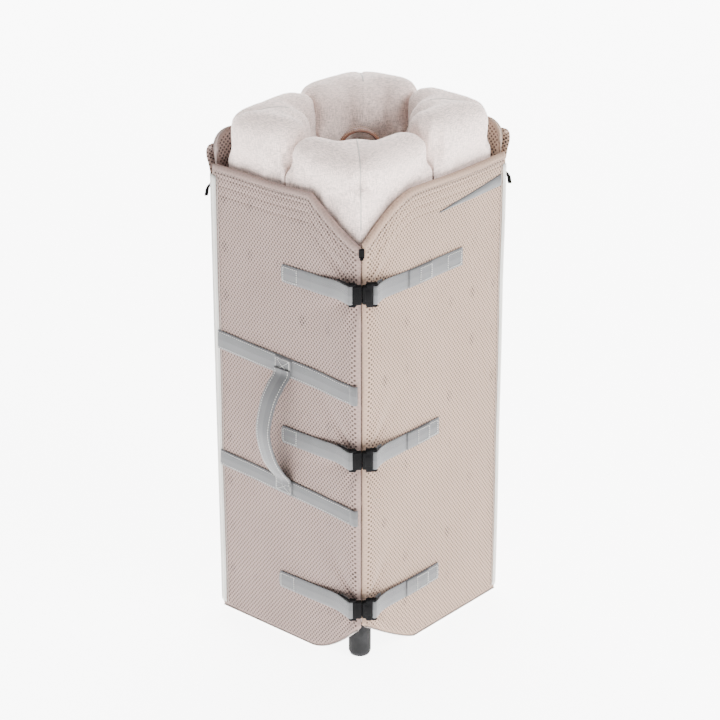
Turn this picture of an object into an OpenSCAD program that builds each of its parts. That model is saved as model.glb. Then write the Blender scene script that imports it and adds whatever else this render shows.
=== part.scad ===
// Folding travel playpen, standing folded upright.
// Four corner posts fold together on diagonal bottom legs and a central hub,
// the top rails hang in pairs between the posts, and a padded mesh cover in
// two halves is wrapped round the bundle and buckled at the front corner.
// Axes: +Z up, the front corner is at +X -Y, the left corner at -X -Y,
// the right corner at +X +Y and the back corner at -X +Y.

/* [Cover] */
// Outside width of the wrapped cover along X
wrap_x = 293; // [292:0.5:296]
// Outside width of the wrapped cover along Y
wrap_y = 327; // [326:0.5:330]
// Height of the top hem of the cover
wrap_top = 735; // [734:1:742]
// Height of the two back panels, above the front ones
back_top = 785; // [760:1:795]
// Gap between the cover and the floor
wrap_low = 3; // [2:1:6]
// Thickness of a padded cover panel
panel_t = 12; // [9:0.5:12]
// Rounding of the cover at the front corner, in plan
front_r = 20; // [16:1:22]
// Depth of the V notch at the top of the front corner
notch_top = 62; // [40:1:66]
// Rise of the rounded bottom at the front corner
notch_low = 73; // [40:1:76]

/* [Webbing] */
// Width of the closure webbing
web_w = 28; // [22:1:32]
// Thickness of all webbing
web_t = 2.4; // [1.6:0.2:2.6]
// Width of the carry handle
handle_w = 34; // [26:1:36]
// How far the carry handle stands away from the cover
handle_out = 40; // [30:1:45]

/* [Buckles] */
// Height of a buckle across the webbing
buckle_h = 36; // [34:1:40]
// Thickness of a buckle
buckle_t = 10; // [9:0.5:11]
// Heights of the three buckles
buckle_z = [102, 349, 607];

/* [Frame] */
// Distance of a corner post from the middle, along X
post_x = 112; // [110:0.5:112]
// Distance of a corner post from the middle, along Y
post_y = 129; // [127:0.5:129]
// Radius of a corner post
post_r = 13; // [10:0.5:13.4]
// Radius of a top rail and of a bottom leg
rail_r = 11; // [9:0.5:11.4]
// Length of a top rail half between its pins, on the long sides
rail_x = 400; // [380:1:420]
// Length of a top rail half between its pins, on the short sides
rail_y = 270; // [250:1:290]
// Height of the rail pins on the corner housings
rail_z = 715; // [712:1:716]
// Distance of a rail pin from the middle of its side
pin_in = 28; // [28:0.5:29]
// Radius of every pivot pin
pin_r = 4; // [3.5:0.25:4.5]
// Radial running clearance of a pin in its bore
pin_gap = 0.05; // [0.02:0.01:0.09]
// Height of the leg pins on the feet
foot_pin_z = 40; // [38:1:44]
// Distance from a post to its leg pin, along the leg's line
foot_arm = 85; // [82:1:88]

/* [Corner covers] */
// Top of the fabric cover on the front corner
puff_front = 803; // [795:1:812]
// Top of the fabric cover on the left and right corners
puff_side = 822; // [812:1:828]
// Top of the fabric cover on the back corner
puff_back = 824; // [812:1:830]

/* [Hidden] */

// Shift that puts the middle of the whole object's box over the origin
off_x = -3.06;
off_y = 15.95;

// Corner signs
F = [1, -1];
L = [-1, -1];
R = [1, 1];
K = [-1, 1];

// Length of a bottom leg between its pins, and its direction in plan
leg_len = sqrt(rail_x * rail_x + rail_y * rail_y);
leg_a = atan2(rail_y, rail_x);
leg_px = post_x - foot_arm * cos(leg_a);
leg_py = post_y - foot_arm * sin(leg_a);
hub_z = foot_pin_z + leg_len;

// Clevis sizes shared by the housings, feet, hub and latches
arm_w = 30;
slot_w = 16;
cheek_r = 13;
tongue_r = 11;
tongue_t = 15;
open_gap = 0.4;

xo = wrap_x / 2;
yo = wrap_y / 2;
xi = xo - panel_t;
yi = yo - panel_t;

// Moves a piece from design coordinates to the object's frame
module place() { translate([off_x, off_y, 0]) children(); }

// Local frame whose +X points inward from a corner along a direction in plan
module at_dir(x, y, z, a) { translate([x, y, z]) rotate([0, 0, a]) children(); }

// Horizontal pin or bore lying along local Y
module ybar(r, len, fn = 48) { rotate([90, 0, 0]) cylinder(r = r, h = len, center = true, $fn = fn); }

// An arm with a clevis at its end. Local origin at the pin, +X away from the arm.
// up = 1 leaves the slot open above, up = -1 leaves it open below.
module clevis_arm(len, up, h = 16) {
  difference() {
    union() {
      translate([-len, -arm_w / 2, -h]) cube([len, arm_w, 2 * h]);
      ybar(cheek_r, arm_w);
    }
    translate([-15, -slot_w / 2, up > 0 ? -12 : -h - 1]) cube([40, slot_w, h + 13]);
  }
  ybar(pin_r, slot_w + 2);
}

// A tube with a tongue at each end. Local origin at the first pin, the second
// pin lies at (0, 0, -len); gap2 is the clearance at the second pin.
module tube_link(len, r, gap1, gap2) {
  difference() {
    union() {
      ybar(tongue_r, tongue_t);
      translate([0, 0, -len]) ybar(tongue_r, tongue_t);
      translate([-7, -tongue_t / 2, -18]) cube([14, tongue_t, 18]);
      translate([-7, -tongue_t / 2, -len]) cube([14, tongue_t, 18]);
      translate([0, 0, -len + 17]) cylinder(r = r, h = len - 34, $fn = 48);
    }
    ybar(pin_r + gap1, 40);
    translate([0, 0, -len]) ybar(pin_r + gap2, 40);
    translate([0, 0, -len + 19]) cylinder(r = r - 1.6, h = len - 38, $fn = 48);
  }
}

module post(c) {
  color([0.62, 0.60, 0.58]) place() translate([c[0] * post_x, c[1] * post_y, 0])
    difference() {
      translate([0, 0, 34]) cylinder(r = post_r, h = rail_z - 17 - 34, $fn = 64);
      translate([0, 0, 33]) cylinder(r = post_r - 1.5, h = rail_z, $fn = 64);
    }
}

module corner_housing(c) {
  color([0.20, 0.20, 0.21]) place() {
    translate([c[0] * post_x, c[1] * post_y, rail_z - 17]) cylinder(r = 17, h = 33, $fn = 64);
    at_dir(c[0] * pin_in, c[1] * post_y, rail_z, c[0] > 0 ? 180 : 0) clevis_arm(post_x - pin_in - 4, -1);
    at_dir(c[0] * post_x, c[1] * pin_in, rail_z, c[1] > 0 ? -90 : 90) clevis_arm(post_y - pin_in - 4, -1);
    translate([c[0] * post_x, c[1] * post_y, rail_z - 40]) cylinder(r = post_r - 1.55, h = 24, $fn = 48);
  }
}

module foot(c) {
  a = atan2(-c[1] * sin(leg_a), -c[0] * cos(leg_a));
  color([0.13, 0.13, 0.14]) place() {
    translate([c[0] * post_x, c[1] * post_y, 0]) {
      rotate_extrude($fn = 64) polygon([[0, 0], [11, 0], [15, 2], [17, 7], [17, 33.9], [0, 33.9]]);
      difference() {
        translate([0, 0, 33.9]) cylinder(r = 17, h = 26, $fn = 64);
        translate([0, 0, 33]) cylinder(r = post_r + 0.05, h = 30, $fn = 64);
      }
      translate([0, 0, 33.5]) cylinder(r = post_r - 1.55, h = 20, $fn = 48);
    }
    difference() {
      at_dir(c[0] * leg_px, c[1] * leg_py, foot_pin_z, a) clevis_arm(foot_arm - 10, 1);
      translate([c[0] * post_x, c[1] * post_y, 0]) cylinder(r = 16, h = 90, $fn = 64);
    }
  }
}

module leg(c) {
  a = atan2(-c[1] * sin(leg_a), -c[0] * cos(leg_a));
  color([0.62, 0.60, 0.58]) place()
    at_dir(c[0] * leg_px, c[1] * leg_py, hub_z, a) tube_link(leg_len, rail_r, pin_gap, pin_gap);
}

module hub() {
  color([0.20, 0.20, 0.21]) place() {
    difference() {
      union() {
        for (c = [F, L, R, K])
          at_dir(c[0] * leg_px, c[1] * leg_py, hub_z, atan2(c[1] * sin(leg_a), c[0] * cos(leg_a))) clevis_arm(62, -1);
        translate([0, 0, hub_z - 16]) cylinder(r = 48, h = 32, $fn = 96);
      }
      for (c = [F, L, R, K])
        at_dir(c[0] * leg_px, c[1] * leg_py, hub_z, atan2(c[1] * sin(leg_a), c[0] * cos(leg_a)))
          translate([-15, -slot_w / 2, -30]) cube([40, slot_w, 42]);
      translate([0, 0, hub_z - 20]) cylinder(r = 30, h = 26, $fn = 96);
    }
    for (c = [F, L, R, K])
      at_dir(c[0] * leg_px, c[1] * leg_py, hub_z, atan2(c[1] * sin(leg_a), c[0] * cos(leg_a))) ybar(pin_r, slot_w + 2);
    // two ears that hold the pull strap's bar
    rotate([0, 0, 45]) for (s = [-1, 1]) translate([s * 45, 0, hub_z + 16]) {
      translate([-2.5, -6, -1]) cube([5, 12, 9]);
      translate([0, 0, 8]) rotate([0, 90, 0]) cylinder(r = 6, h = 5, center = true, $fn = 48);
    }
    rotate([0, 0, 45]) translate([0, 0, hub_z + 24]) rotate([0, 90, 0]) cylinder(r = 2.5, h = 88, center = true, $fn = 32);
  }
}

// Webbing loop of the pull strap: two runs up from the bar, local X along the bar
strap_z = hub_z + 24;
module pull_strap_webbing() {
  color([0.66, 0.68, 0.68]) place() rotate([0, 0, 45]) for (s = [-1, 1]) translate([s * 28, 0, strap_z]) {
    difference() {
      union() {
        rotate([0, 90, 0]) cylinder(r = 5, h = 20, center = true, $fn = 40);
        translate([-10, -1.5, 0]) cube([20, 3, 175]);
      }
      rotate([0, 90, 0]) cylinder(r = 2.55, h = 30, center = true, $fn = 32);
    }
  }
}

// Leather grip over the top of the loop: an arch of round section
module pull_strap_grip() {
  color([0.45, 0.25, 0.15]) place() rotate([0, 0, 45]) translate([0, 0, strap_z + 175]) {
    for (s = [-1, 1]) translate([s * 28 - 10, -3, 0]) cube([20, 6, 24]);
    translate([0, 0, 24]) rotate([90, 0, 0]) difference() {
      intersection() {
        cylinder(r = 38, h = 6, center = true, $fn = 96);
        translate([-40, 0, -5]) cube([80, 40, 10]);
      }
      cylinder(r = 24, h = 10, center = true, $fn = 96);
    }
  }
}

// Half rails: c is the corner, long = true for the rail lying along X when open
module half_rail(c, long, latch_end) {
  color([0.62, 0.60, 0.58]) place()
    at_dir(long ? c[0] * pin_in : c[0] * post_x, long ? c[1] * post_y : c[1] * pin_in, rail_z,
           long ? (c[0] > 0 ? 180 : 0) : (c[1] > 0 ? -90 : 90))
      tube_link(long ? rail_x : rail_y, rail_r, pin_gap, latch_end ? pin_gap : open_gap);
}

// Latch housing: joins the lower ends of two half rails, local X along the rail
module rail_latch(x, y, z, a) {
  color([0.20, 0.20, 0.21]) place() at_dir(x, y, z, a) {
    difference() {
      union() {
        translate([-pin_in, -15, -16]) cube([2 * pin_in, 30, 32]);
        for (s = [-1, 1]) translate([s * pin_in, 0, 0]) {
          ybar(cheek_r, 30);
        }
      }
      for (s = [-1, 1]) translate([s * (pin_in + 5) - 20, -slot_w / 2, -12]) cube([40, slot_w, 40]);
      translate([0, 0, -17]) cylinder(r = 9.3, h = 14, $fn = 48);
    }
    for (s = [-1, 1]) translate([s * pin_in, 0, 0]) ybar(pin_r, slot_w + 2);
  }
}

module latch_button(x, y, z, a) {
  color([0.35, 0.35, 0.36]) place() at_dir(x, y, z, a) {
    translate([0, 0, -15]) cylinder(r = 9, h = 7, $fn = 48);
    translate([0, 0, -21]) rotate_extrude($fn = 48) polygon([[0, 0], [7.5, 0], [9, 1.5], [9, 6.1], [0, 6.1]]);
  }
}

// Fabric cover over a corner housing: two rounded arms over the housing's arms,
// hollow below so that the rails can swing. ex and ey say how far each arm
// reaches towards the middle of its side, low says where the cover ends.
module corner_cover(c, top, ex, ey, low, shade) {
  ox = xi - 0.7;
  oy = yi - 0.7;
  color(shade) place() mirror([c[0] < 0 ? 1 : 0, 0, 0]) mirror([0, c[1] < 0 ? 1 : 0, 0]) difference() {
    union() {
      hull() {
        for (x = [ex + 26, ox - 26]) for (y = [oy - 46, oy - 25]) translate([x, y, top - 24]) sphere(r = 24, $fn = 32);
        translate([ex + 3, oy - 58, rail_z + 18]) cube([ox - ex - 3, 58, 4]);
        translate([ex + 20, oy - 54, rail_z - 22]) cube([ox - ex - 20, 54, 4]);
        translate([ox - 44, oy - 44, low]) cube([44, 44, 4]);
      }
      hull() {
        for (y = [ey + 26, oy - 26]) for (x = [ox - 46, ox - 25]) translate([x, y, top - 24]) sphere(r = 24, $fn = 32);
        translate([ox - 58, ey + 3, rail_z + 18]) cube([58, oy - ey - 3, 4]);
        translate([ox - 54, ey + 20, rail_z - 22]) cube([54, oy - ey - 20, 4]);
        translate([ox - 44, oy - 44, low]) cube([44, 44, 4]);
      }
    }
    // room for the housing and for the rails to swing
    translate([-60, post_y - 16.5, 600]) cube([60 + post_x + 17.6, 34.1, rail_z + 18 - 600]);
    translate([post_x - 16.5, -60, 600]) cube([34.1, 60 + post_y + 17.6, rail_z + 18 - 600]);
  }
}

// Gathered side netting, hanging between a post and its two rails
module side_mesh(c) {
  color([0.80, 0.77, 0.74]) place() {
    translate([c[0] * (post_x - 40) - 20, c[1] * post_y - 8, 60]) cube([40, 16, 620]);
    translate([c[0] * post_x - 8, c[1] * (post_y - 47) - 27, 60]) cube([16, 54, 620]);
  }
}

// Profile of the front corner notches, u runs from 0 to 1 at the corner
function late(u, p) = u <= 0 ? 0 : pow(u, p);
function soft(u) = u <= 0 ? 0 : 0.5 * u + 0.5 * sin(90 * u);

// Panel outline in its own plane: s runs along the panel to the front corner at s1
function panel_pts(s0, s1, wt, pt, wb, pb, is_soft) = concat(
  [[s0, wrap_low], [s1 - wb, wrap_low]],
  [for (i = [1:12]) [s1 - wb + wb * i / 12, wrap_low + notch_low * late(i / 12, pb)]],
  [for (i = [12:-1:1]) [s1 - wt + wt * i / 12, wrap_top - notch_top * (is_soft ? soft(i / 12) : late(i / 12, pt))]],
  [[s1 - wt, wrap_top], [s0, wrap_top]]);

// Left front panel, along X, rounded round the front corner
module cover_panel_left_front() {
  color([0.72, 0.66, 0.62]) place() intersection() {
    translate([0, 0, -10]) linear_extrude(height = wrap_top + 20) polygon(concat(
      [[-xo + 4, -yo]],
      [for (i = [0:8]) [xo - front_r + front_r * sin(45 * i / 8), -yo + front_r - front_r * cos(45 * i / 8)] - (i == 8 ? [0.3, 0.3] : [0, 0])],
      [[xi - 0.3, -yi], [-xo, -yi], [-xo, -yo + 4]]));
    translate([0, 0, 0]) rotate([90, 0, 0]) linear_extrude(height = 400, center = true)
      polygon(panel_pts(-xo - 1, xo + 1, 101, 1, 103, 1.7, true));
  }
}

// Right front panel, along Y
module cover_panel_right_front() {
  color([0.76, 0.71, 0.66]) place() intersection() {
    translate([0, 0, -10]) linear_extrude(height = wrap_top + 20) polygon(concat(
      [[xi, -yi + 0.3]],
      [for (i = [8:-1:0]) [xo - front_r + front_r * cos(45 * i / 8), -yo + front_r - front_r * sin(45 * i / 8)] + (i == 8 ? [0.3, 0.3] : [0, 0])],
      [[xo, yo - 4], [xo - 4, yo], [xi, yo]]));
    rotate([90, 0, -90]) linear_extrude(height = 400, center = true)
      polygon(panel_pts(-yo - 1, yo + 1, 119, 1.6, 124, 1.2, false));
  }
}

// Outline of a back panel: u runs from its free upper corner, rounded off, to the back corner
function back_pts(len) = concat(
  [[0, wrap_low], [len, wrap_low], [len, back_top]],
  [for (i = [0:10]) [30 * (1 - sin(9 * i)), back_top - 30 * (1 - cos(9 * i))]]);

// Left back panel, along Y
module cover_panel_left_back() {
  color([0.74, 0.69, 0.65]) place() translate([-xi, -yi + 0.4, 0]) rotate([90, 0, 90]) translate([0, 0, -panel_t])
    linear_extrude(height = panel_t) polygon(back_pts(2 * yi - 0.7));
}

// Right back panel, along X, folds out about the back corner
module cover_panel_right_back() {
  color([0.74, 0.69, 0.65]) place() translate([xi - 0.4, yi, 0]) rotate([90, 0, 180])
    linear_extrude(height = panel_t) polygon(back_pts(xi + xo - 0.4));
}

// Middle of the buckles and the direction across the front corner
bk_n = front_r + 6.4;
bk_x = xo - front_r + bk_n * cos(45);
bk_y = -yo + front_r - bk_n * sin(45);
function bk(t, n) = [bk_x + (t + n) * cos(45), bk_y + (t - n) * cos(45)];

// How far each closure strap reaches along its panel
left_end = [-19, -11, -7];
right_end = [13, 11, 59];

module closure_straps_left() {
  color([0.66, 0.69, 0.69]) place() for (i = [0:2])
    translate([0, 0, buckle_z[i] - web_w / 2]) linear_extrude(height = web_w)
      polygon([[left_end[i], -yo - 0.02], [100, -yo - 0.02], bk(-24, -7) + [0, web_t], bk(-24, -7), [100, -yo - web_t], [left_end[i], -yo - web_t]]);
}

module closure_straps_right() {
  color([0.66, 0.69, 0.69]) place() for (i = [0:2])
    translate([0, 0, buckle_z[i] - web_w / 2]) linear_extrude(height = web_w)
      polygon([[xo + 0.02, right_end[i]], [xo + 0.02, -118], bk(19.2, 0) - [web_t, 0], bk(17.2, 0), [xo + web_t, -116], [xo + web_t, right_end[i]]]);
}

// Heights of the handle bands at their left and front ends
band_hi = [462, 449];
band_lo = [266, 252];

module band(z, w) {
  translate([0, -yo, 0]) rotate([90, 0, 0]) translate([0, 0, 0.02]) linear_extrude(height = web_t)
    polygon([[-xo + 6, z[0] - w / 2], [xo - front_r, z[1] - w / 2], [xo - front_r, z[1] + w / 2], [-xo + 6, z[0] + w / 2]]);
}

module handle_bands() {
  color([0.66, 0.69, 0.69]) place() {
    band(band_hi, 30);
    band(band_lo, 26);
    // stitched ends of the carry handle
    for (z = [455, 259]) translate([-6 - handle_w / 2, -yo - 2 * web_t, z - 12]) cube([handle_w, web_t, 24]);
  }
}

// Carry handle: an arc of webbing standing off the panel
handle_z = 357;
handle_half = 86;
handle_yo = 15;
handle_in = handle_out - handle_yo;
handle_arc = (handle_half * handle_half + handle_in * handle_in) / (2 * handle_in);
module carry_handle() {
  color([0.66, 0.69, 0.69]) place()
    translate([-6 - handle_w / 2, -yo - handle_out + handle_arc, handle_z]) rotate([0, 90, 0]) rotate([0, 0, 0]) intersection() {
      difference() {
        cylinder(r = handle_arc, h = handle_w, $fn = 180);
        translate([0, 0, -1]) cylinder(r = handle_arc - 4, h = handle_w + 2, $fn = 180);
      }
      translate([-handle_half, -handle_arc - 1, -1]) cube([2 * handle_half, handle_in + 1, handle_w + 2]);
    }
}

// Side release buckles across the front corner: local X along the webbing
module at_buckle(i) { translate([bk_x, bk_y, buckle_z[i]]) rotate([0, 0, 45]) children(); }

module buckle_sockets() {
  color([0.10, 0.10, 0.11]) place() for (i = [0:2]) at_buckle(i) difference() {
    translate([0, -buckle_t / 2, -buckle_h / 2]) cube([17, buckle_t, buckle_h]);
    translate([-1, -3.2, -buckle_h / 2 + 4]) cube([14, 6.4, buckle_h - 8]);
  }
}

module buckle_plug(i) {
  color([0.10, 0.10, 0.11]) place() at_buckle(i) {
    difference() {
      translate([-17, -buckle_t / 2 + 0.5, -buckle_h / 2 + 0.5]) cube([16.4, buckle_t - 1, buckle_h - 1]);
      translate([-13, -buckle_t, -buckle_h / 2 + 4]) cube([3, 2 * buckle_t, buckle_h - 8]);
    }
    translate([-1, -2.8, -buckle_h / 2 + 5]) cube([12, 5.6, buckle_h - 10]);
  }
}
module buckle_plug_top() { buckle_plug(2); }
module buckle_plug_middle() { buckle_plug(1); }
module buckle_plug_bottom() { buckle_plug(0); }

// Zip tapes on the edges of the back half, with the sliders running on them
module zip_tape_left() {
  color([0.80, 0.80, 0.77]) place() translate([-xo - 1.5, -yi + 1, wrap_low + 6]) cube([1.5, 14, wrap_top - wrap_low - 12]);
}
module zip_tape_right() {
  color([0.80, 0.80, 0.77]) place() translate([xi - 15, yo, wrap_low + 6]) cube([14, 1.5, wrap_top - wrap_low - 12]);
}
module zip_slider() {
  // local Y points away from the panel
  translate([-5, 0.3, -6]) cube([10, 4, 12]);
  translate([-2, 4.1, 1]) cube([4, 2, 4]);
  difference() {
    translate([-3, 4.6, -32]) cube([6, 2, 36]);
    translate([-1.6, 3, -28]) cube([3.2, 6, 10]);
  }
}
module zip_slider_left() {
  color([0.10, 0.10, 0.11]) place() translate([-xo - 1.5, -yi + 8, wrap_top - 20]) rotate([0, 0, 90]) zip_slider();
}
module zip_slider_right() {
  color([0.10, 0.10, 0.11]) place() translate([xi - 8, yo + 1.5, wrap_top - 20]) zip_slider();
}

post(F);  // post_front
post(L);  // post_left
post(R);  // post_right
post(K);  // post_back
corner_housing(F);  // corner_housing_front
corner_housing(L);  // corner_housing_left
corner_housing(R);  // corner_housing_right
corner_housing(K);  // corner_housing_back
foot(F);  // foot_front
foot(L);  // foot_left
foot(R);  // foot_right
foot(K);  // foot_back
leg(F);  // leg_front
leg(L);  // leg_left
leg(R);  // leg_right
leg(K);  // leg_back
hub();
pull_strap_webbing();
pull_strap_grip();
half_rail(F, true, true);  // half_rail_front_to_left
half_rail(L, true, false);  // half_rail_left_to_front
half_rail(F, false, true);  // half_rail_front_to_right
half_rail(R, false, false);  // half_rail_right_to_front
half_rail(K, true, true);  // half_rail_back_to_right
half_rail(R, true, false);  // half_rail_right_to_back
half_rail(K, false, true);  // half_rail_back_to_left
half_rail(L, false, false);  // half_rail_left_to_back
rail_latch(0, -post_y, rail_z - rail_x, 0);  // rail_latch_left_front
rail_latch(post_x, 0, rail_z - rail_y, 90);  // rail_latch_right_front
rail_latch(0, post_y, rail_z - rail_x, 0);  // rail_latch_right_back
rail_latch(-post_x, 0, rail_z - rail_y, 90);  // rail_latch_left_back
latch_button(0, -post_y, rail_z - rail_x, 0);  // latch_button_left_front
latch_button(post_x, 0, rail_z - rail_y, 90);  // latch_button_right_front
latch_button(0, post_y, rail_z - rail_x, 0);  // latch_button_right_back
latch_button(-post_x, 0, rail_z - rail_y, 90);  // latch_button_left_back
corner_cover(F, puff_front, -8, -6, 664, [0.86, 0.83, 0.81]);  // corner_cover_front
corner_cover(L, puff_side, 13.4, 4.6, 690, [0.85, 0.82, 0.80]);  // corner_cover_left
corner_cover(R, puff_side, 4, 12, 690, [0.87, 0.84, 0.82]);  // corner_cover_right
corner_cover(K, puff_back, 4, 4, 690, [0.86, 0.83, 0.80]);  // corner_cover_back
side_mesh(F);  // side_mesh_front
side_mesh(L);  // side_mesh_left
side_mesh(R);  // side_mesh_right
side_mesh(K);  // side_mesh_back
cover_panel_left_front();
cover_panel_right_front();
cover_panel_left_back();
cover_panel_right_back();
closure_straps_left();
closure_straps_right();
handle_bands();
carry_handle();
buckle_sockets();
buckle_plug_top();
buckle_plug_middle();
buckle_plug_bottom();
zip_tape_left();
zip_tape_right();
zip_slider_left();
zip_slider_right();
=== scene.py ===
import bpy
import bmesh
import math
import numpy as np
from mathutils import Vector, Matrix
from mathutils.bvhtree import BVHTree


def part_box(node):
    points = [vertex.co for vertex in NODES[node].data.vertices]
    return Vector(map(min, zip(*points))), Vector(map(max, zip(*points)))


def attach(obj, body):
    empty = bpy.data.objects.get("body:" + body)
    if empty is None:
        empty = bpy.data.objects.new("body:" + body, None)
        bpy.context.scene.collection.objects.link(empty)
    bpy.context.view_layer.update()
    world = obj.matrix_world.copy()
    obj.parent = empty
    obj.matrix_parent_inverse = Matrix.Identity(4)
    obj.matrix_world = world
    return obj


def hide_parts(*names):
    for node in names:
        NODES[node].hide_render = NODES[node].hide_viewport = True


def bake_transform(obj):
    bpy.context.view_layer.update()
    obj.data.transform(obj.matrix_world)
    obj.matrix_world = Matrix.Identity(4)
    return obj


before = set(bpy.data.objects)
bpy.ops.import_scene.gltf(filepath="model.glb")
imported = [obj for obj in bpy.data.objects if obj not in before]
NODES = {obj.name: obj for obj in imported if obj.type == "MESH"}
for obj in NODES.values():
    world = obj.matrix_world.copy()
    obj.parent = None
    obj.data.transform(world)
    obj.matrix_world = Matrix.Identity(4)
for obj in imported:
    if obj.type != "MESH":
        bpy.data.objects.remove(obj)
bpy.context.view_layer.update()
SCN = bpy.context.scene

# ---------------------------------------------------------------- frame sizes
_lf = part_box("cover_panel_left_front")
_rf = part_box("cover_panel_right_front")
_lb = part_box("cover_panel_left_back")
XL, YF, XR, YB = _lf[0].x, _lf[0].y, _rf[1].x, _rf[1].y
OX, OY = (XL + XR) / 2, (YF + YB) / 2
XO, YO = (XR - XL) / 2, (YB - YF) / 2
PT = _lb[1].x - _lb[0].x                    # panel thickness
ZLOW, ZTOP = _lf[0].z, _lf[1].z
ZBACK = _lb[1].z                            # top of the back panels
XI, YI = XO - PT, YO - PT
FR = 0.020                                  # front corner rounding in plan
POST = {k: (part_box("post_" + k)[0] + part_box("post_" + k)[1]) / 2 for k in ("front", "left", "right", "back")}
PX, PY = POST["front"].x - OX, OY - POST["front"].y
SIGN = {"front": (1, -1), "left": (-1, -1), "right": (1, 1), "back": (-1, 1)}
RAIL_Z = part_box("half_rail_front_to_left")[1].z - 0.011


def W(x, y, z):
    """Design coordinates, middle of the bundle at 0, to the row frame."""
    return Vector((x + OX, y + OY, z))


def smooth(a, b, x):
    t = np.clip((np.asarray(x, float) - a) / (b - a), 0, 1)
    return t * t * (3 - 2 * t)


def noise2(u, v, seed):
    """Smooth repeatable noise, about -1 to 1."""
    r = np.random.RandomState(seed)
    s = 0
    for k in range(7):
        a = r.uniform(0, 2 * math.pi)
        f = 1.0 + 0.55 * k
        s = s + np.sin((u * math.cos(a) + v * math.sin(a)) * f + r.uniform(0, 6.28)) / (1 + 0.5 * k)
    return s / 3.0


# ---------------------------------------------------------------- mesh helpers
def make_obj(name, verts, faces, uvs=None, attrs=None, mat=None, shade=True):
    me = bpy.data.meshes.new(name)
    me.from_pydata([tuple(map(float, v)) for v in verts], [], [tuple(map(int, f)) for f in faces])
    me.validate()
    if uvs is not None:
        layer = me.uv_layers.new(name="UVMap")
        idx = np.zeros(len(me.loops), int)
        me.loops.foreach_get("vertex_index", idx)
        uv = np.asarray(uvs, float)[idx]
        layer.data.foreach_set("uv", uv.ravel())
    for k, a in (attrs or {}).items():
        at = me.attributes.new(k, "FLOAT", "POINT")
        at.data.foreach_set("value", np.asarray(a, np.float32))
    me.polygons.foreach_set("use_smooth", [shade] * len(me.polygons))
    me.update()
    o = bpy.data.objects.new(name, me)
    SCN.collection.objects.link(o)
    if mat:
        me.materials.append(mat)
    return o


def fix_normals(o):
    bm = bmesh.new()
    bm.from_mesh(o.data)
    bmesh.ops.recalc_face_normals(bm, faces=bm.faces)
    bm.to_mesh(o.data)
    bm.free()
    o.data.update()
    return o


def frames(path, side):
    """Tangent, side and normal along a path; side is one hint or one per point."""
    p = np.asarray(path, float)
    t = np.gradient(p, axis=0)
    t /= np.linalg.norm(t, axis=1)[:, None] + 1e-12
    s = np.broadcast_to(np.asarray(side, float), p.shape).copy()
    s -= (s * t).sum(1)[:, None] * t
    s /= np.linalg.norm(s, axis=1)[:, None] + 1e-12
    n = np.cross(s, t)
    return p, t, s, n


def sweep(name, path, side, profile, mat=None, cap=True, closed=False, wscale=None, vlen=None):
    """Sweeps a closed 2-D profile (side, normal) along a path. UV: u along in metres, v round the profile in metres."""
    p, t, s, n = frames(path, side)
    if closed:
        t = (np.roll(p, -1, 0) - np.roll(p, 1, 0))
        t /= np.linalg.norm(t, axis=1)[:, None] + 1e-12
        s = np.broadcast_to(np.asarray(side, float), p.shape).copy()
        s -= (s * t).sum(1)[:, None] * t
        s /= np.linalg.norm(s, axis=1)[:, None] + 1e-12
        n = np.cross(s, t)
    prof = np.asarray(profile, float)
    m, k = len(p), len(prof)
    ws = np.ones(m) if wscale is None else np.asarray(wscale, float)
    verts = (p[:, None, :] + s[:, None, :] * (prof[None, :, 0, None] * ws[:, None, None]) + n[:, None, :] * prof[None, :, 1, None]).reshape(-1, 3)
    d = np.r_[0, np.cumsum(np.linalg.norm(np.diff(p, axis=0), axis=1))]
    uvs = np.zeros((m * k, 2))
    uvs[:, 0] = np.repeat(d, k)
    uvs[:, 1] = np.tile(prof[:, 0], m)
    faces = []
    rng = range(m) if closed else range(m - 1)
    for i in rng:
        j = (i + 1) % m
        for a in range(k):
            b = (a + 1) % k
            faces.append((i * k + a, i * k + b, j * k + b, j * k + a))
    if cap and not closed:
        faces.append(tuple(range(k))[::-1])
        faces.append(tuple((m - 1) * k + a for a in range(k)))
    o = make_obj(name, verts, faces, uvs, mat=mat)
    return fix_normals(o)


def web_profile(w, t, ridge=0.0):
    """Rounded flat webbing section, finely cut along its width."""
    h = w / 2
    top = [(-h + 0.0002, t * 0.30)] + [(x, t * 0.5 + ridge * (1 - abs(x) / h)) for x in np.linspace(-h + t * 0.45, h - t * 0.45, 7)] + [(h - 0.0002, t * 0.30)]
    bot = [(x, -y) for x, y in top[::-1]]
    return top + bot


def round_profile(r, k=10, sy=1.0):
    return [(r * math.cos(2 * math.pi * i / k), r * sy * math.sin(2 * math.pi * i / k)) for i in range(k)]


def bezier(pts, n):
    """Catmull-Rom through points."""
    p = np.asarray(pts, float)
    p = np.vstack([2 * p[0] - p[1], p, 2 * p[-1] - p[-2]])
    out = []
    segs = len(p) - 3
    per = max(2, n // segs)
    for i in range(segs):
        for t in np.linspace(0, 1, per, endpoint=False):
            a, b, c, d = p[i:i + 4]
            out.append(0.5 * ((2 * b) + (-a + c) * t + (2 * a - 5 * b + 4 * c - d) * t * t + (-a + 3 * b - 3 * c + d) * t ** 3))
    out.append(p[-2])
    return np.array(out)


def join(name, objs):
    """One object from several that share nothing else."""
    objs = [o for o in objs if o is not None]
    bpy.ops.object.select_all(action="DESELECT")
    for o in objs:
        o.select_set(True)
    bpy.context.view_layer.objects.active = objs[0]
    bpy.ops.object.join()
    o = bpy.context.view_layer.objects.active
    o.name = name
    o.data.name = name
    o.select_set(False)
    return o


def apply_mods(o):
    dg = bpy.context.evaluated_depsgraph_get()
    e = o.evaluated_get(dg)
    me = bpy.data.meshes.new_from_object(e, preserve_all_data_layers=True, depsgraph=dg)
    o.modifiers.clear()
    o.data = me
    return o


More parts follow.
